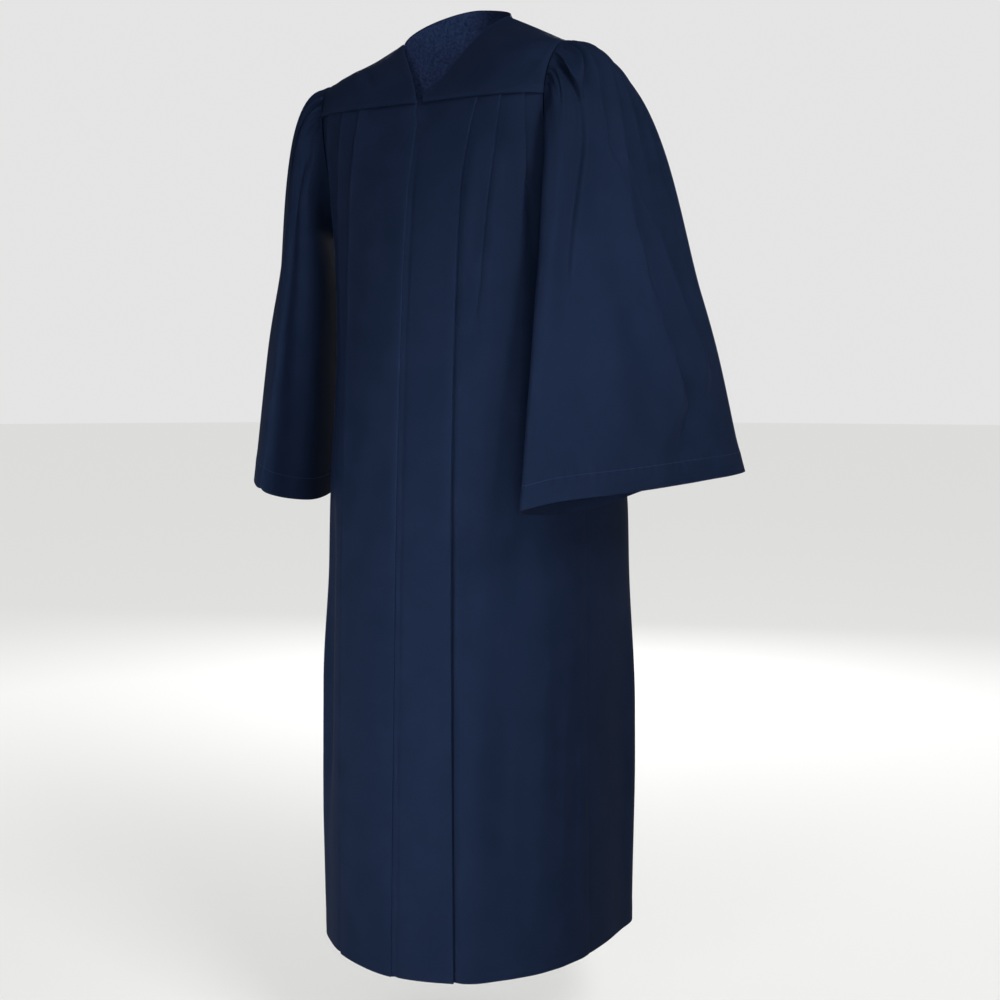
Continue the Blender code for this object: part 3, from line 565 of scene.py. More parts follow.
def folded_edge(opened, z):
    """The right front's first part: its facing, half a circle to its folded edge, and back over it."""
    edge = -OVERLAP + (OVERLAP + SLIT_HALF) * opened
    roll = along(CLOSURE_ROLL, "roll", z)[:, None]
    radius = (CLOSURE_LIFT + roll - FACING_UNDER) / 2
    under = np.linspace(FACING_WIDE, 0.0, 5)[:-1] + radius
    turn = np.linspace(-np.pi / 2, np.pi / 2, 7)
    outer = radius + (CLOSURE_WIDTH - radius) * np.linspace(0, 1, 30)[1:] ** 1.4
    bend = roll * np.exp(-(outer - radius) / roll_width(z))
    bend += CLOSURE_LIFT * (1 - ease(outer / CLOSURE_WIDTH))
    arcs = edge + np.concatenate([under, radius * (1 - np.cos(turn)), outer], 1)
    offsets = np.concatenate([
        np.full_like(under, FACING_UNDER), FACING_UNDER + radius * (1 + np.sin(turn)), bend], 1)
    # an ironing mark, with its painted sheen, runs back from the folded edge
    return arcs, offsets, bell(np.maximum(0, arcs - edge), PRESSED_SHEEN_WIDTH)


def front_half(side):
    """One front: from the closure over three pleats, with a strip before each, to its side seam."""
    opened = ease((front_z - SLIT_END_Z + SLIT_EASE / 2) / SLIT_EASE)[:, None]
    if side == "left":
        first, fold, count = underlap(opened), (OVERLAP, 1.0), 30
    else:
        first, fold, count = folded_edge(opened, front_z), NO_FOLD, 14
    grid, ironed_sheen = panel(
        side, "front", front_z, first, fold, FRONT_PLEATS[side], (count, 16, 16, 35), FRONT_FOLDS[side],
        fade=0.03, wave=(0.0007, 1.0, -0.13))
    # the ironing marks, and the painted sheen they carry, fade out from 0.60 to 0.85 m down
    return grid, ironed_sheen * (1 - ease((-0.60 - front_z) / 0.25))[:, None]


for side in ("left", "right"):
    grid, ironed_sheen = front_half(side)
    front = cloth("front_" + side + "_cloth", grid, pressed=ironed_sheen, double=turned_up(front_z))
    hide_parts("front_" + side)

# ---- The yokes --------------------------------------------------------------------------------
# Plain fitted pieces over the shoulders: two in front, which leave the V of the neck, and one
# behind, raised at the back of the neck. Each edge is turned in, and covers the tops of the pleats.

YOKE_OUT = 0.0053  # a yoke's lower edge stands this far outside the panel it covers
YOKE_LIFT = 0.0016  # and this far where it meets the armhole
YOKE_EASE = 0.02  # it comes down to that over this width
SHOULDER_GAP = 0.0006  # each yoke stops this far from the shoulder line, as their edges meet at an angle
NECK_SIDE = {"left": (0.0830, 0.020, 0.010), "right": (0.0890, 0.0195, -0.010)}
NECK_BACK = (0.0, 0.092, 0.046)
CORNER = {"left": 0.0095, "right": SLIT_HALF}  # where each yoke's lower front corner lies off the middle
# The neck's edge: how it leaves and arrives, from the corner and from the middle of the back.
NECK_FRONT_EDGE = {
    "left": ((0.072, 0.098, 0.100), (0.098, 0.138, 0.079)),
    "right": ((0.060, 0.070, 0.134), (0.082, 0.134, 0.092))}
NECK_BACK_EDGE = {
    "left": ((0.105, 0.004, -0.012), (0.006, -0.090, -0.040)),
    "right": ((0.114, -0.004, 0.012), (-0.018, -0.063, -0.083))}


def curve(start, end, leave, arrive, steps):
    """The Hermite cubic from start to end as a line of points."""
    t = np.linspace(0, 1, steps)[:, None]
    return cubic(*(np.asarray(v, float) for v in (start, end, leave, arrive)), t)


def shoulder(side, steps):
    """The shoulder seam, drawn on the left, from the neck to the top of the armhole."""
    neck, tip = np.array(NECK_SIDE[side]), armhole(side, 0.0)
    run = tip - neck
    return curve(neck, tip, run * (1, 1, 0.95), run * (1, 1, 1.05), steps)


def patch(low, high, first, last):
    """A Coons surface: low and high run across, first and last from low to high at its two ends."""
    v = np.linspace(0, 1, len(first))[:, None, None]
    u = np.linspace(0, 1, len(low))[None, :, None]
    corners = ((1 - u) * (1 - v) * low[0] + u * (1 - v) * low[-1]
               + (1 - u) * v * high[0] + u * v * high[-1])
    return (1 - v) * low[None] + v * high[None] + (1 - u) * first[:, None] + u * last[:, None] - corners


# Up a yoke's lowest rows: how high each lies, and how far in from the yoke's face.
YOKE_EDGE = [
    (0.0035, 0.0034), (0.0008, 0.0030), (0.0001, 0.0020), (0.0, 0.0011), (0.0004, 0.0004),
    (0.0014, 0.0), (0.007, 0.0)]
EDGE_ROWS = len(YOKE_EDGE) - 1


def yoke_foot(side, face, z, start, steps):
    """The lowest rows of a yoke, on the left: its turned edge, as a quarter circle, then up past the
    top of the panel that it covers, outside the pleats."""
    rows = []
    for height, inwards in YOKE_EDGE:
        at = np.array([z + height])
        end = half_plan(side, face, at)[1][0, -1] - SEAM
        arcs = np.linspace(start, end, steps)
        offsets = YOKE_LIFT + (YOKE_OUT - YOKE_LIFT - inwards) * ease((end - arcs) / YOKE_EASE)
        rows.append(body_points(side, face, at, arcs[None], offsets[None])[0] * MIRROR[side])
    return np.array(rows)


def armhole_edge(side, face, low, high, steps):
    """The armhole, on the left, from a yoke's lower corner up to the end of its shoulder seam."""
    hole = ARMHOLE[side]
    angle = np.arccos((low[2] - hole["z"]) / hole["half_height"])
    edge = armhole(side, FACING[face] * angle * np.linspace(1, 0, steps))
    edge[0], edge[-1] = low, high
    return edge


def normals(grid, around=False):
    """The unit normal at each point of a grid."""
    across = np.roll(grid, -1, 1) - np.roll(grid, 1, 1) if around else np.gradient(grid, axis=1)
    return unit(np.cross(across, np.gradient(grid, axis=0)))


TURNED_EDGE = 0.011  # how far the cloth is turned in along the neck and the armhole
YOKE_CROWN = 0.006  # how far its middle swells
RIM = 0.0005  # the turned edges stand up by this
OUTWARDS = (0, -1, 0.4)  # the way that a front yoke swells
# across, up, half width, half height, lean, height: of the soft dents and ridges in each front yoke
YOKE_FOLDS = {
    "left": [(0.74, 0.42, 0.10, 0.40, 0.25, 0.0016), (0.88, 0.35, 0.06, 0.35, 0.2, -0.0018),
             (0.42, 0.30, 0.14, 0.25, 0.3, 0.0008)],
    "right": [(0.42, 0.42, 0.05, 0.22, 0.1, -0.0030), (0.55, 0.45, 0.06, 0.30, 0.2, 0.0018),
              (0.82, 0.40, 0.07, 0.40, 0.2, -0.0016)],
}


def front_yoke(side, steps=76, rows=44):
    """One front yoke, with a slight crown, a shallow dimple where it turns to the shoulder, and the
    drag lines that the neck's edge pulls into it."""
    foot = yoke_foot(side, "front", FRONT_SEAM_Z, CORNER[side], steps)
    low, high = foot[-1], shoulder(side, steps) - (0, SHOULDER_GAP, 0)
    neck = curve(low[0], high[0], *NECK_FRONT_EDGE[side], rows)
    grid = patch(low, high, neck, armhole_edge(side, "front", low[-1], high[-1], rows))
    u, v = np.meshgrid(np.linspace(0, 1, steps), np.linspace(0, 1, rows))
    hold = np.sin(np.pi * u) * np.sin(np.pi * v)
    swell = YOKE_CROWN * hold
    for at_u, at_v, wide_u, wide_v, lean, height in YOKE_FOLDS[side]:
        dent = bell(u - at_u - lean * (v - at_v), wide_u) * bell(v - at_v, wide_v)
        swell += height * dent * np.minimum(1, 4 * hold)
    grid += swell[..., None] * OUTWARDS
    grid = np.concatenate([foot[:-1], grid])
    # the edges are turned in, so they stand up a little beside the neck and the armhole; they are ironed
    # there, and painted a lighter navy as sheen
    from_neck = distance(grid, 1)
    from_armhole = from_neck[:, -1:] - from_neck
    rim = bell(from_neck - 0.0025, 0.0022) + 0.8 * bell(from_armhole - 0.004, 0.003)
    rim *= ease((np.arange(len(grid)) - EDGE_ROWS) / 4)[:, None]
    grid += RIM * rim[..., None] * OUTWARDS
    # painted sheen, with the smoother ironed finish, along the neck, the armhole and the turned lower edge
    pressed = np.exp(-from_neck / 0.0035) + 0.55 * bell(from_armhole - 0.004, 0.004)
    pressed[:EDGE_ROWS] = np.maximum(pressed[:EDGE_ROWS], 0.2)
    double = [ease((TURNED_EDGE - away) / 0.003) for away in (from_neck, from_armhole)]
    return grid * MIRROR[side], np.minimum(pressed, 1), np.maximum(*double)


def back_yoke_grid(half=56, rows=34):
    """The back yoke, in one piece across both shoulders, with the back of the neck raised."""
    feet, tops, edges = [], [], []
    for side in ("right", "left"):
        foot = yoke_foot(side, "back", BACK_SEAM_Z, 0.0, half)
        neck = curve(NECK_BACK, NECK_SIDE[side], *NECK_BACK_EDGE[side], half // 2 + 1)
        top = np.concatenate([neck[:-1], shoulder(side, half - half // 2)]) + (0, SHOULDER_GAP, 0)
        feet.append(foot * MIRROR[side])
        tops.append(top[None] * MIRROR[side])
        edges.append(armhole_edge(side, "back", foot[-1, -1], top[-1], rows) * MIRROR[side])
    foot, top = joined(*feet), joined(*tops)[0]
    return np.concatenate([foot[:-1], patch(foot[-1], top, *edges)])


for side in ("left", "right"):
    grid, ironed_sheen, double = front_yoke(side)
    front_piece = cloth("front_yoke_" + side + "_cloth", grid, pressed=ironed_sheen, double=double)
    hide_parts("front_yoke_" + side)
back_yoke = cloth("back_yoke_cloth", back_yoke_grid())
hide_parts("back_yoke")

# ---- The yoke's lining ------------------------------------------------------------------------
# The back yoke alone is lined, with a dull brushed tricot a little bluer than the robe. It is bagged
# out: its edges lie just inside the yoke's own. Its short nap gives the mottled look.

LINING_BLUE = "#1d273f"
LINING_DEEP = "#0c1428"


def brushed_tricot():
    """The lining's material: a matte knit with a short nap, mottled at 3 to 5 mm."""
    material, tree = new_material("brushed_tricot")
    place = add(tree, "TexCoord").outputs["Object"]
    mottle = add(tree, "TexNoise", {"Scale": 260.0, "Detail": 3.0, "Roughness": 0.7}, Vector=place)
    colour = add(tree, "MixRGB", {
        "Color1": linear(LINING_DEEP), "Color2": linear(LINING_BLUE)}, Fac=ranged(tree, mottle, 0.0, 1.0))
    nap = add(tree, "Bump", {"Strength": 0.5, "Distance": 0.0006}, Height=mottle)
    surface = add(tree, "BsdfPrincipled", {
        "Roughness": 0.9, "Specular IOR Level": 0.01, "Specular Tint": linear("#8fa6d8"),
        "Sheen Weight": 0.01, "Sheen Roughness": 0.6, "Sheen Tint": linear("#6f7fc0"),
    }, Base_Color=colour, Normal=nap)
    add(tree, "OutputMaterial", Surface=surface)
    return material


LINING_IN = 0.00155  # from the middle of the yoke's cloth to the middle of the lining's
outer = back_yoke_grid()[EDGE_ROWS:]
facing = normals(outer)
inner = outer - facing * np.sign(facing[..., 1].mean()) * LINING_IN
# it stops short of the yoke's edges at the neck and at each armhole
inner[-1] += (inner[-2] - inner[-1]) * 0.4
inner[:, 0] += (inner[:, 1] - inner[:, 0]) * 0.5
inner[:, -1] += (inner[:, -2] - inner[:, -1]) * 0.5
lining = cloth("back_yoke_lining_cloth", inner, material=brushed_tricot())
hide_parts("back_yoke_lining")

# ---- The bell sleeves -------------------------------------------------------------------------
# Each is one wide piece, gathered into the armhole over the shoulder and sewn into a tube. It falls
# flat, with a front and a back edge, and its hem is turned up 31 mm and stitched.

# How each leaves the armhole, at angles round it from its foot by its front and its top.
SLEEVE_START = table("angle out_mm back_mm up_mm", [
    (-180, 90, 10, -100), (-90, 100, -70, -100), (-45, 220, -60, -10), (0, 330, 30, 10),
    (45, 370, 150, 10), (90, 260, 240, -80), (180, 90, 10, -100)])
SLEEVE = {
    "left": dict(
        puff=(0.93, 0.86, 1.0), elbow=(0.2490, 0.036, -0.385), elbow_depth=0.162,
        hem=(0.2720, 0.050, -0.657), drop=0.034),
    "right": dict(
        puff=(0.80, 1.0, 1.0), elbow=(0.2520, 0.040, -0.380), elbow_depth=0.168,
        hem=(0.2720, 0.050, -0.645), drop=0.045),
}
# Half its flattened section: its width, and its depth from the front to the back edge at the hem.
SLEEVE_WIDTH = 0.042
HEM_DEPTH = 0.235
SLEEVE_YAW = 18, 17  # how far the section is turned at the elbow and at the hem, in degrees
HEAD_OFF = 0.0007  # the sleeve starts this far out from the armhole's loop at its top
SIDE_OFF = 0.00055  # and further by this away from the top
FOOT_OFF = 0.0010  # and by this at its foot
HEM_RISE = 0.020  # the hem's back edge lies higher than its front edge by this
SLEEVE_HEM = 0.031  # from its edge to its stitches
STITCH_GROOVE = 0.0005  # the stitches sink into the cloth by this
PUCKER = 0.00035  # and draw it into small waves this high
CORNER_DROP = 0.009  # the hem hangs lower by this at its front corner
HEAD_EASE = 0.0035  # the folds of the head stand on a form drawn in by this
FOLD_OVER = 0.55  # a fold leans over its steep side by this share of its height
GATHERS = [(0.0010, 8.3), (0.0006, 13.7)]  # of the small gathers: height, and spacing in degrees
# The folds that spread from a sleeve's head, each as rows down the sleeve. before and after: its half
# width towards the front and towards the back, in degrees. The narrow side is the steep one.
FOLD_ROWS = "t angle before after height_mm"
SLEEVE_FOLDS = {
    "left": [
        # the roll along the front of the armhole
        [(0.02, -84, 12, 12, 0), (0.1, -86, 14, 14, 7.8), (0.25, -88, 16, 16, 7.8),
         (0.45, -90, 18, 18, 0)],
        [(0, -55, 9, 9, 0), (0.03, -58, 9, 8, 5.2), (0.1, -64, 10, 8, 7.8), (0.22, -66, 10, 9, 5.9),
         (0.4, -70, 11, 9, 3.9), (0.75, -74, 10, 10, 0)],
        # the pocket behind the front tuck, which goes on as a long trough, and the tuck's own edge
        [(0.02, -44, 3, 2, 0), (0.05, -46, 4, 2, -6), (0.1, -47.5, 4.5, 2, -8.5), (0.14, -45, 4.5, 2.8, -5),
         (0.19, -42, 5, 4, -3.4), (0.24, -43, 6, 4, -3.6), (0.305, -49, 8, 3.8, -4.8),
         (0.37, -54, 9, 4.2, -5.6), (0.455, -56, 10, 4.6, -5), (0.54, -55, 10, 6, -3),
         (0.66, -55, 10, 8, 0)],
        [(0, -36, 2, 4, 0), (0.03, -39, 2, 4, 5.2), (0.09, -42, 1.7, 4, 7), (0.13, -40, 2.2, 4, 4.2),
         (0.19, -36, 3.2, 5, 2.2), (0.305, -42, 3.4, 6, 2.8), (0.4, -47, 4, 7, 2), (0.5, -50, 5, 8, 0)],
        [(0.03, -53, 2, 2, 0), (0.06, -54, 2, 2, 4), (0.1, -56, 2, 3, 5), (0.15, -59, 3, 3, 3),
         (0.2, -62, 3, 3, 0)],
        # the second tuck, short and looped
        [(0.01, -24, 4, 1.6, 0), (0.05, -27, 4, 1.4, 5.9), (0.09, -29.5, 4, 1.4, 7.8),
         (0.12, -33, 4, 1.6, 6.5), (0.16, -37, 4, 3, 0)],
        [(0.03, -25.5, 1.6, 3, 0), (0.08, -26.5, 1.6, 4, -5.2), (0.12, -29, 2, 5, -6),
         (0.17, -34, 3, 6, -3.3), (0.24, -36, 4, 7, 0)],
        # two long folds that meet above the elbow, the second carried on to the hem
        [(0, -15, 4, 2.5, 0), (0.03, -18, 4, 2, 4.6), (0.12, -21, 5, 1.8, 8.5), (0.2, -26, 6, 1.6, 9),
         (0.25, -26, 6, 1.8, 8.5), (0.3, -20, 6, 2.2, 5), (0.36, -15, 6, 4, 0)],
        [(0, -2, 4, 2.5, 0), (0.03, -3, 4, 2, 4.6), (0.12, -6, 5, 1.8, 9), (0.2, -11, 6, 1.6, 10),
         (0.265, -13, 7, 1.5, 11.8), (0.35, -13, 8, 1.5, 13.8), (0.415, -7, 9, 1.5, 15),
         (0.495, -3, 11, 1.7, 15.5), (0.575, 3, 12, 1.9, 14.8), (0.695, 10, 13, 2.4, 12),
         (0.775, 16, 12, 3.4, 7.5), (0.83, 22, 10, 6, 2.6), (0.9, 26, 10, 8, 0)],
        # the trough behind it, which deepens to a hollow above the hem
        [(0.06, 3, 3, 5, 0), (0.14, 1, 3, 6, -6), (0.22, -4, 3, 7, -8), (0.3, -4, 2.5, 8, -8.5),
         (0.385, 2, 2.5, 8, -9.5), (0.465, 8, 3, 9, -10.5), (0.565, 11, 4, 9, -10), (0.7, 19, 5, 8, -9),
         (0.79, 27, 6, 7, -12), (0.855, 21, 7, 8, -13), (0.92, 13, 9, 8, -6), (1, 8, 10, 10, -2)],
        # the ridge behind the trough, which turns back to meet the first above the hollow
        [(0.18, -4, 3, 2.5, 0), (0.24, -5, 4, 2, 5), (0.315, 0, 5, 2, 8), (0.405, 15, 6, 2, 10),
         (0.48, 23, 7, 2.2, 10), (0.57, 30, 8, 2.4, 9.5), (0.65, 39, 8, 4, 7), (0.71, 39, 8, 5, 4.5),
         (0.765, 33, 7, 6, 2.2), (0.81, 27, 7, 7, 0.8), (0.86, 22, 7, 7, 0)],
        # folds over the top and down the back
        [(0, 8, 3, 3, 0), (0.03, 9, 3, 2.5, 4.6), (0.13, 9, 4, 2.5, 6.5), (0.22, 9, 5, 3, 5),
         (0.32, 16, 6, 4, 0)],
        [(0, 19, 3, 3, 0), (0.03, 20, 3, 3, 3.9), (0.12, 23, 4, 3, 5.9), (0.25, 31, 7, 4, 3.9),
         (0.4, 38, 8, 6, 0)],
        [(0, 30, 4, 2.5, 0), (0.03, 31, 4, 2.5, 5.2), (0.12, 36, 5, 3, 7.2), (0.3, 50, 8, 5, 6.5),
         (0.6, 68, 10, 7, 5.2), (0.9, 80, 12, 10, 0)],
        [(0, 42, 3, 2.5, 0), (0.03, 43, 3, 2.5, 4.6), (0.11, 49, 5, 3, 6.5), (0.24, 60, 6, 4, 4.6),
         (0.42, 70, 8, 6, 0)],
        [(0, 54, 3, 2.5, 0), (0.03, 56, 3, 2.5, 5.2), (0.12, 63, 5, 3, 6.5), (0.3, 80, 7, 5, 5.9),
         (0.55, 92, 9, 8, 0)],
        [(0, 66, 3, 3, 0), (0.03, 68, 3, 3, 3.9), (0.1, 74, 4, 3, 4.6), (0.22, 86, 6, 4, 0)],
        # the broad fall of the front, the hollow near the hem and the fold of the inner face
        [(0.34, -30, 9, 12, 0), (0.55, -26, 14, 14, 6.5), (0.8, -24, 18, 16, 7.8), (1, -24, 20, 18, 3.9)],
        [(0.68, 22, 9, 11, 0), (0.88, 26, 10, 12, -9.1), (1, 28, 11, 12, -5.2)],
        [(0.2, 148, 16, 16, 0), (0.45, 145, 18, 18, -7.8), (0.8, 142, 18, 18, -7.8),
         (1, 140, 18, 18, -5.2)],
    ],
    "right": [
        [(0, -50, 7, 4, 0), (0.03, -54, 7, 4, 5.2), (0.1, -58, 8, 4, 7.8), (0.2, -63, 9, 5, 5.9),
         (0.4, -72, 11, 8, 3.9), (0.7, -80, 12, 10, 0)],
        [(0.01, -44, 3, 3, 0), (0.05, -48, 4, 3, -7.8), (0.12, -50, 5, 3, -10.4), (0.22, -54, 6, 5, -5.2),
         (0.36, -60, 7, 7, 0)],
        [(0, -38, 2, 4, 0), (0.03, -41, 2, 4, 5.9), (0.1, -44, 2, 5, 7.8), (0.18, -46, 3, 6, 5.2),
         (0.32, -50, 5, 8, 0)],
        [(0, -25, 4, 2.5, 0), (0.03, -27, 4, 2.5, 5.2), (0.12, -31, 5, 2.5, 7.2), (0.26, -34, 7, 3.5, 5.9),
         (0.5, -36, 10, 6, 0)],
        [(0, -12, 4, 2.5, 0), (0.03, -13, 4, 2.5, 4.6), (0.12, -14, 5, 2.5, 6.5), (0.28, -13, 8, 3.5, 7.8),
         (0.55, -4, 12, 5, 7.8), (0.88, 6, 14, 8, 0)],
        [(0, 0, 3, 3, 0), (0.03, 1, 3, 3, 4.6), (0.12, 3, 4, 3, 5.9), (0.26, 7, 7, 4, 3.9),
         (0.42, 12, 8, 6, 0)],
        [(0, 12, 4, 2.5, 0), (0.03, 13, 4, 2.5, 5.2), (0.12, 17, 5, 3, 7.2), (0.3, 28, 8, 4, 7.8),
         (0.6, 42, 11, 6, 6.5), (0.92, 52, 13, 9, 0)],
        [(0, 25, 3, 3, 0), (0.03, 26, 3, 3, 3.9), (0.12, 31, 4, 3, 5.2), (0.25, 40, 6, 4, 0)],
        [(0, 38, 4, 2.5, 0), (0.03, 39, 4, 2.5, 5.2), (0.12, 45, 5, 3, 7.2), (0.32, 60, 8, 5, 6.5),
         (0.64, 76, 10, 8, 0)],
        [(0, 52, 3, 2.5, 0), (0.03, 53, 3, 2.5, 4.6), (0.12, 60, 5, 3, 5.9), (0.28, 74, 7, 5, 3.9),
         (0.45, 84, 8, 8, 0)],
        [(0, 65, 3, 3, 0), (0.03, 67, 3, 3, 3.9), (0.11, 75, 4, 3, 5.2), (0.26, 90, 6, 5, 0)],
        [(0.06, -80, 6, 8, 0), (0.14, -86, 8, 9, -6.5), (0.33, -108, 10, 12, -9.1),
         (0.6, -119, 12, 14, -10.4), (0.85, -128, 13, 15, -7.8), (1, -131, 14, 16, -5.2)],
        [(0.4, -58, 10, 12, 0), (0.65, -52, 14, 14, 5.2), (1, -48, 18, 16, 3.9)],
        [(0.55, 22, 9, 11, 0), (0.8, 26, 11, 12, -7.8), (1, 28, 12, 12, -5.2)],
        [(0.2, 150, 16, 16, 0), (0.5, 148, 18, 18, 6.5), (1, 146, 18, 18, 5.2)],
    ],
}


# The hem's stitches: lockstitch in a slightly lighter polyester thread.
STITCH_PITCH = 0.0035
STITCH_LONG = 0.0027
STITCH_BOW = 0.0003  # a stitch's middle stands off the cloth by this
STITCH_DIVE = 0.0005  # and its ends lie lower by this
THREAD_RADIUS = 0.00026
THREAD_BLUE = "#2a3c5e"
THREAD_DEEP = "#1b2944"


def spun_thread():
    """The stitches' material: twisted polyester, a little lighter and smoother than the cloth."""
    material, tree = new_material("spun_polyester_thread")
    place = add(tree, "TexCoord").outputs["Object"]
    lint = add(tree, "TexNoise", {"Scale": 900.0, "Detail": 2.0}, Vector=place)
    share = ranged(tree, lint, 0.0, 1.0, 0.35, 0.65)
    colour = add(tree, "MixRGB", {
        "Color1": linear(THREAD_DEEP), "Color2": linear(THREAD_BLUE)}, Fac=share)
    ply = add(tree, "Bump", {"Strength": 0.4, "Distance": 0.0001}, Height=lint)
    surface = add(tree, "BsdfPrincipled", {
        "Roughness": 0.5, "Specular IOR Level": 0.1, "Sheen Weight": 0.02, "Sheen Roughness": 0.4,
    }, Base_Color=colour, Normal=ply)
    add(tree, "OutputMaterial", Surface=surface)
    return material


THREAD = spun_thread()


def stitches(name, ring, out, sides=6, rings=7):
    """A row of lockstitches round a closed ring of points, out being the way off the cloth at each. Each
    stitch is a thread that bows off the cloth along the ring, with half-round ends that dive into it."""
    ring, out = (np.concatenate([v, v[:1]]) for v in (ring, out))
    away = distance(ring, 0)
    count = int(away[-1] / STITCH_PITCH)
    u = np.linspace(-1, 1, rings)
    at = (np.arange(count)[:, None] + 0.5) * away[-1] / count + u[None] * STITCH_LONG / 2
    line, up = (np.stack([
        np.interp(at, away, v[:, k], period=away[-1]) for k in range(3)], -1) for v in (ring, out))
    up = unit(up)
    across = np.cross(unit(np.gradient(line, axis=1)), up)
    line, up, across = (v[:, :, None] for v in (line, up, across))
    phi = np.linspace(0, 2 * np.pi, sides, endpoint=False)[:, None]
    thick = THREAD_RADIUS * np.sqrt(1 - (0.96 * u) ** 2)[:, None, None]
    bow = (CLOTH_THICK / 2 + STITCH_BOW - STITCH_DIVE * u ** 4)[:, None, None]
    points = line + up * (bow + thick * np.cos(phi)) + across * thick * np.sin(phi)
    index = np.arange(count * rings * sides).reshape(count, rings, sides)
    after = np.roll(index, -1, 2)
    faces = np.stack([after[:, :-1], after[:, 1:], index[:, 1:], index[:, :-1]], -1).reshape(-1, 4)
    ends = np.concatenate([index[:, 0], index[:, -1, ::-1]])
    mesh = bpy.data.meshes.new(name)
    mesh.from_pydata(points.reshape(-1, 3).tolist(), [], faces.tolist() + ends.tolist())
    mesh.shade_smooth()
    mesh.materials.append(THREAD)
    piece = placed(name, mesh)
    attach(piece, "root")
    return piece


def lens(angle, depth, yaw, centre):
    """A flat, level sleeve section. Angle 0 is the middle of its outer face, and -pi/2 its front edge."""
    long, short = depth * np.sin(angle), SLEEVE_WIDTH * np.cos(angle) * np.abs(np.cos(angle)) ** 0.15
    turn = np.radians(yaw)
    x = long * np.sin(turn) + short * np.cos(turn)
    y = long * np.cos(turn) - short * np.sin(turn)
    return np.stack([x, y, np.zeros_like(x)], -1) + centre


def sleeve_form(side, angle, t):
    """The sleeve without its folds, on the left: two Hermite cubics in t, from the armhole (0) to the
    elbow section (0.5) and on to the hem (1)."""
    size = SLEEVE[side]
    start = armhole(side, angle)
    start[..., 0] += HEAD_OFF + SIDE_OFF * np.sqrt(np.abs(np.sin(angle / 2)))
    start[..., 0] += FOOT_OFF * (1 - np.cos(angle)) / 2
    leave = [along(SLEEVE_START, name, np.degrees(angle)) for name in ("out", "back", "up")]
    leave = np.stack(leave, -1) * size["puff"]
    elbow = lens(angle, size["elbow_depth"], SLEEVE_YAW[0], size["elbow"])
    hem = lens(angle, HEM_DEPTH, SLEEVE_YAW[1], size["hem"])
    front_part = ease((0.9 - np.sin(angle)) / 1.5)  # the inner face hangs lower towards the front
    hem[..., 2] += HEM_RISE * (np.sin(angle) + 1) / 2
    hem[..., 2] -= size["drop"] * np.maximum(0, -np.cos(angle)) * front_part
    hem[..., 2] -= CORNER_DROP * bell(np.degrees(angle) + 88, 26)
    through = (hem - elbow) * 0.95 + (elbow - start) * 0.12  # the way it passes the elbow
    t = t[..., None]
    upper = cubic(start, elbow, leave, through, np.minimum(t * 2, 1))
    lower = cubic(elbow, hem, through, hem - elbow, np.maximum(t * 2 - 1, 0))
    return np.where(t <= 0.5, upper, lower)


def sleeve_folds(side, angle, t):
    """The folds of a sleeve, as an offset outwards and one around it. Each is a bell curve about a line
    that wanders down the sleeve, steeper on its narrow side, and leans over that side. Small gathers,
    12 to 20 mm apart, fill the seam between them."""
    degrees = np.degrees(angle)
    down = t[:, 0]
    total, over = np.zeros_like(t), np.zeros_like(t)
    for rows in SLEEVE_FOLDS[side]:
        fold = table(FOLD_ROWS, rows)
        middle, before, after, height = (along(fold, name, down)[:, None] for name in list(fold)[1:])
        away = (degrees - middle + 180) % 360 - 180
        inside = ((down >= rows[0][0]) & (down <= rows[-1][0]))[:, None]
        raised = inside * height * bell(away, np.where(away < 0, before, after))
        total += raised
        steep = np.clip((before - after) / np.minimum(before, after), -1, 1)
        over += FOLD_OVER * steep * np.abs(raised)
    # the gathers lie over the top of the armhole, and die out within the first seventh of the sleeve
    head = ease((84 - np.abs(degrees)) / 16) * ease(t / 0.012) * ease((0.15 - t) / 0.13)
    drift = degrees + 2.5 * np.sin(0.21 * degrees) + 40 * t
    gathers = sum(height * np.cos(2 * np.pi * drift / pitch) for height, pitch in GATHERS)
    drawn_in = HEAD_EASE * ease((78 - np.abs(degrees + 5)) / 20) * ease(t / 0.03) * ease((0.5 - t) / 0.3)
    return total + head * gathers - drawn_in, over


degrees = spans((-100, -62, 32), (-62, 48, 185), (48, 100, 46), (100, 260, 60))[:-1]
levels = spans((0, 0.26, 56), (0.26, 1, 82))
angle, level = np.meshgrid(np.radians((degrees + 180) % 360 - 180), levels)
for side in ("left", "right"):
    form = sleeve_form(side, angle, level)
    inwards = normals(form, around=True)
    sideways = unit(np.roll(form, -1, 1) - np.roll(form, 1, 1))
    out, over = sleeve_folds(side, angle, level)
    grid = form - inwards * out[..., None] + sideways * over[..., None]
    drop = distance(form, 0)
    above = drop[-1] - drop - SLEEVE_HEM
    grid += inwards * (STITCH_GROOVE * bell(above, 0.0025))[..., None]
    # the stitched hem puckers, in waves 17 and 24 mm long
    around = np.cumsum(np.linalg.norm(grid - np.roll(grid, 1, 1), axis=2), 1)
    pucker = np.sin(2 * np.pi * around / 0.017) + 0.6 * np.sin(2 * np.pi * around / 0.0243 + 1)
    grid += inwards * (PUCKER * pucker * bell(above, 0.007))[..., None]
    piece = cloth(
        "sleeve_" + side + "_cloth", grid * MIRROR[side], around=True, double=ease(0.5 - above / 0.004))
    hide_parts("sleeve_" + side)
    # the line of stitching, between the rows on either side of it
    row = np.argmax(above < 0, 0)
    column = np.arange(len(degrees))
    over_line, under_line = above[row - 1, column], above[row, column]
    share = (over_line / (over_line - under_line))[:, None]
    ring = grid[row - 1, column] * (1 - share) + grid[row, column] * share
    hem_stitches = stitches(
        "sleeve_" + side + "_stitches", ring * MIRROR[side], -inwards[row, column] * MIRROR[side])

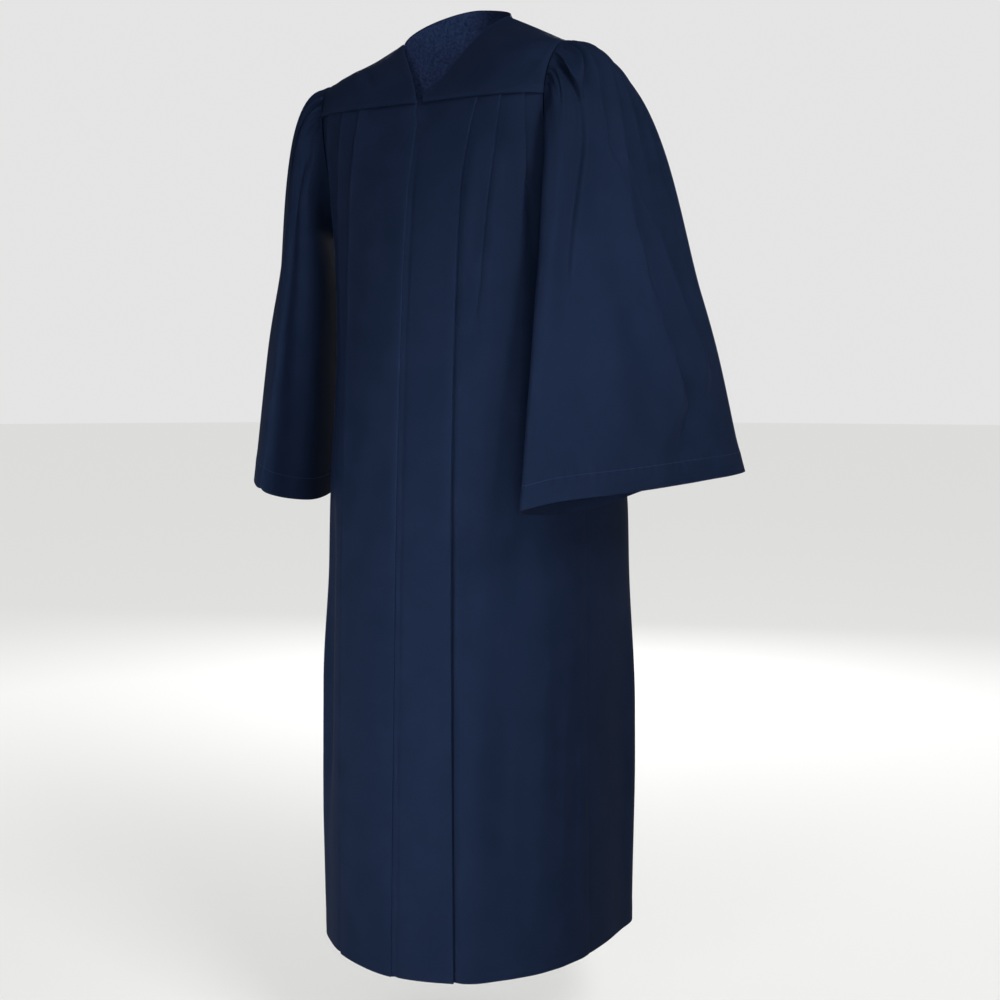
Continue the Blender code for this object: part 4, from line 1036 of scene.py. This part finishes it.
# ---- The studio -------------------------------------------------------------------------------
# A pale floor as far below the hem as the wearer's ankles, which glows as painted light, more far off than
# near the robe; a white surround, and large soft lights.

FLOOR_Z = -1.45
PAPER = "#9c9c9b"
GLOW_WHITE = "#f4f4f3"
# The floor's glow near the robe and far off, and from where to where it grows, in metres.
FLOOR_GLOW = 0.32, 0.72, 0.9, 3.0
FLOOR_RINGS = [0.02, 1.0, 4.0, 12.0, 30.0]
turn, radius = np.meshgrid(np.linspace(0, 2 * np.pi, 97), FLOOR_RINGS)
rings = np.stack([radius * np.cos(turn), radius * np.sin(turn), np.full_like(turn, FLOOR_Z)], -1)[:, :-1]
index = np.arange(rings[..., 0].size).reshape(rings.shape[:2])
faces = quads(np.concatenate([index, index[:, :1]], 1))[..., ::-1].reshape(-1, 4)
floor_mesh = bpy.data.meshes.new("floor")
floor_mesh.from_pydata(rings.reshape(-1, 3).tolist(), [], faces.tolist() + [index[0].tolist()])
floor = placed("floor", floor_mesh)
paper, tree = new_material("glowing_pale_floor")
away = add(tree, "VectorMath", {"operation": "LENGTH"}, _0=add(tree, "TexCoord").outputs["Object"])
# the floor glows as painted light, dim near the robe and bright far off
surface = add(tree, "BsdfPrincipled", {
    "Base Color": linear(PAPER), "Roughness": 0.9, "Specular IOR Level": 0.0,
    "Emission Color": linear(GLOW_WHITE),
}, Emission_Strength=ranged(tree, away.outputs["Value"], *FLOOR_GLOW))
add(tree, "OutputMaterial", Surface=surface)
floor_mesh.materials.append(paper)

ROOM_LIGHT = 0.20  # what the white room adds to the lamps
ROOM_SEEN = 0.78  # and how bright its far wall looks
world = bpy.data.worlds.new("studio")
bpy.context.scene.world = world
world.use_nodes = True
background = world.node_tree.nodes["Background"]
background.inputs["Color"].default_value = (1.0, 1.0, 1.0, 1.0)
seen = add(world.node_tree, "LightPath").outputs["Is Camera Ray"]
room = ranged(world.node_tree, seen, ROOM_LIGHT, ROOM_SEEN, 0.0, 1.0)
world.node_tree.links.new(room.outputs[0], background.inputs["Strength"])
bpy.context.scene.view_settings.view_transform = "Standard"

# name, place, the point it is turned to, size in metres, spread in degrees, watts
LIGHTS = [
    ("high_right", (2.0, -1.0, 1.1), (0.2, 0, -0.5), 1.0, 180, 82.0),
    ("front_high", (0.5, -2.4, 0.9), (0, 0, -0.3), 1.0, 180, 4.0),
    ("front_low", (-0.1, -2.2, -0.9), (-0.05, 0, -1.0), 0.6, 50, 6.0),
    ("floor_front", (0.5, -1.6, -1.3), (0, 0, -1.0), 0.8, 120, 7.0),
    ("camera_side", (1.35, -2.35, -0.4), (0.1, 0, -0.5), 0.5, 180, 26.0),
    ("sleeve", (1.7, -1.3, -0.4), (0.3, 0, -0.44), 0.3, 24, 0.75),
    ("side_left", (-2.6, -0.3, -0.1), (0, 0, -0.65), 1.2, 180, 9.0),
    ("back", (-1.0, 2.6, 0.5), (0, 0, -0.65), 1.6, 180, 85.0),
]
for name, place, target, size, spread, watts in LIGHTS:
    lamp = bpy.data.lights.new(name, "AREA")
    lamp.size = size
    lamp.spread = np.radians(spread)
    lamp.energy = watts
    light = placed(name, lamp)
    light.location = place
    light.rotation_euler = Vector(np.subtract(target, place)).to_track_quat("-Z", "Y").to_euler()
    light.visible_camera = False

# The camera: a 51 mm lens two metres off, at the wearer's left front and half a metre below the
# shoulders.
CAMERA_TURN = np.radians(30)
CAMERA_AWAY = 2.02
CAMERA_Z = -0.503
lens_data = bpy.data.cameras.new("camera")
lens_data.sensor_width = 36.0
lens_data.lens = 50.9
lens_data.shift_x = 0.05
lens_data.shift_y = -0.12
camera = placed("camera", lens_data)
camera.location = (CAMERA_AWAY * np.sin(CAMERA_TURN), -CAMERA_AWAY * np.cos(CAMERA_TURN), CAMERA_Z)
camera.rotation_euler = (np.pi / 2, 0.0, CAMERA_TURN)
bpy.context.scene.camera = camera
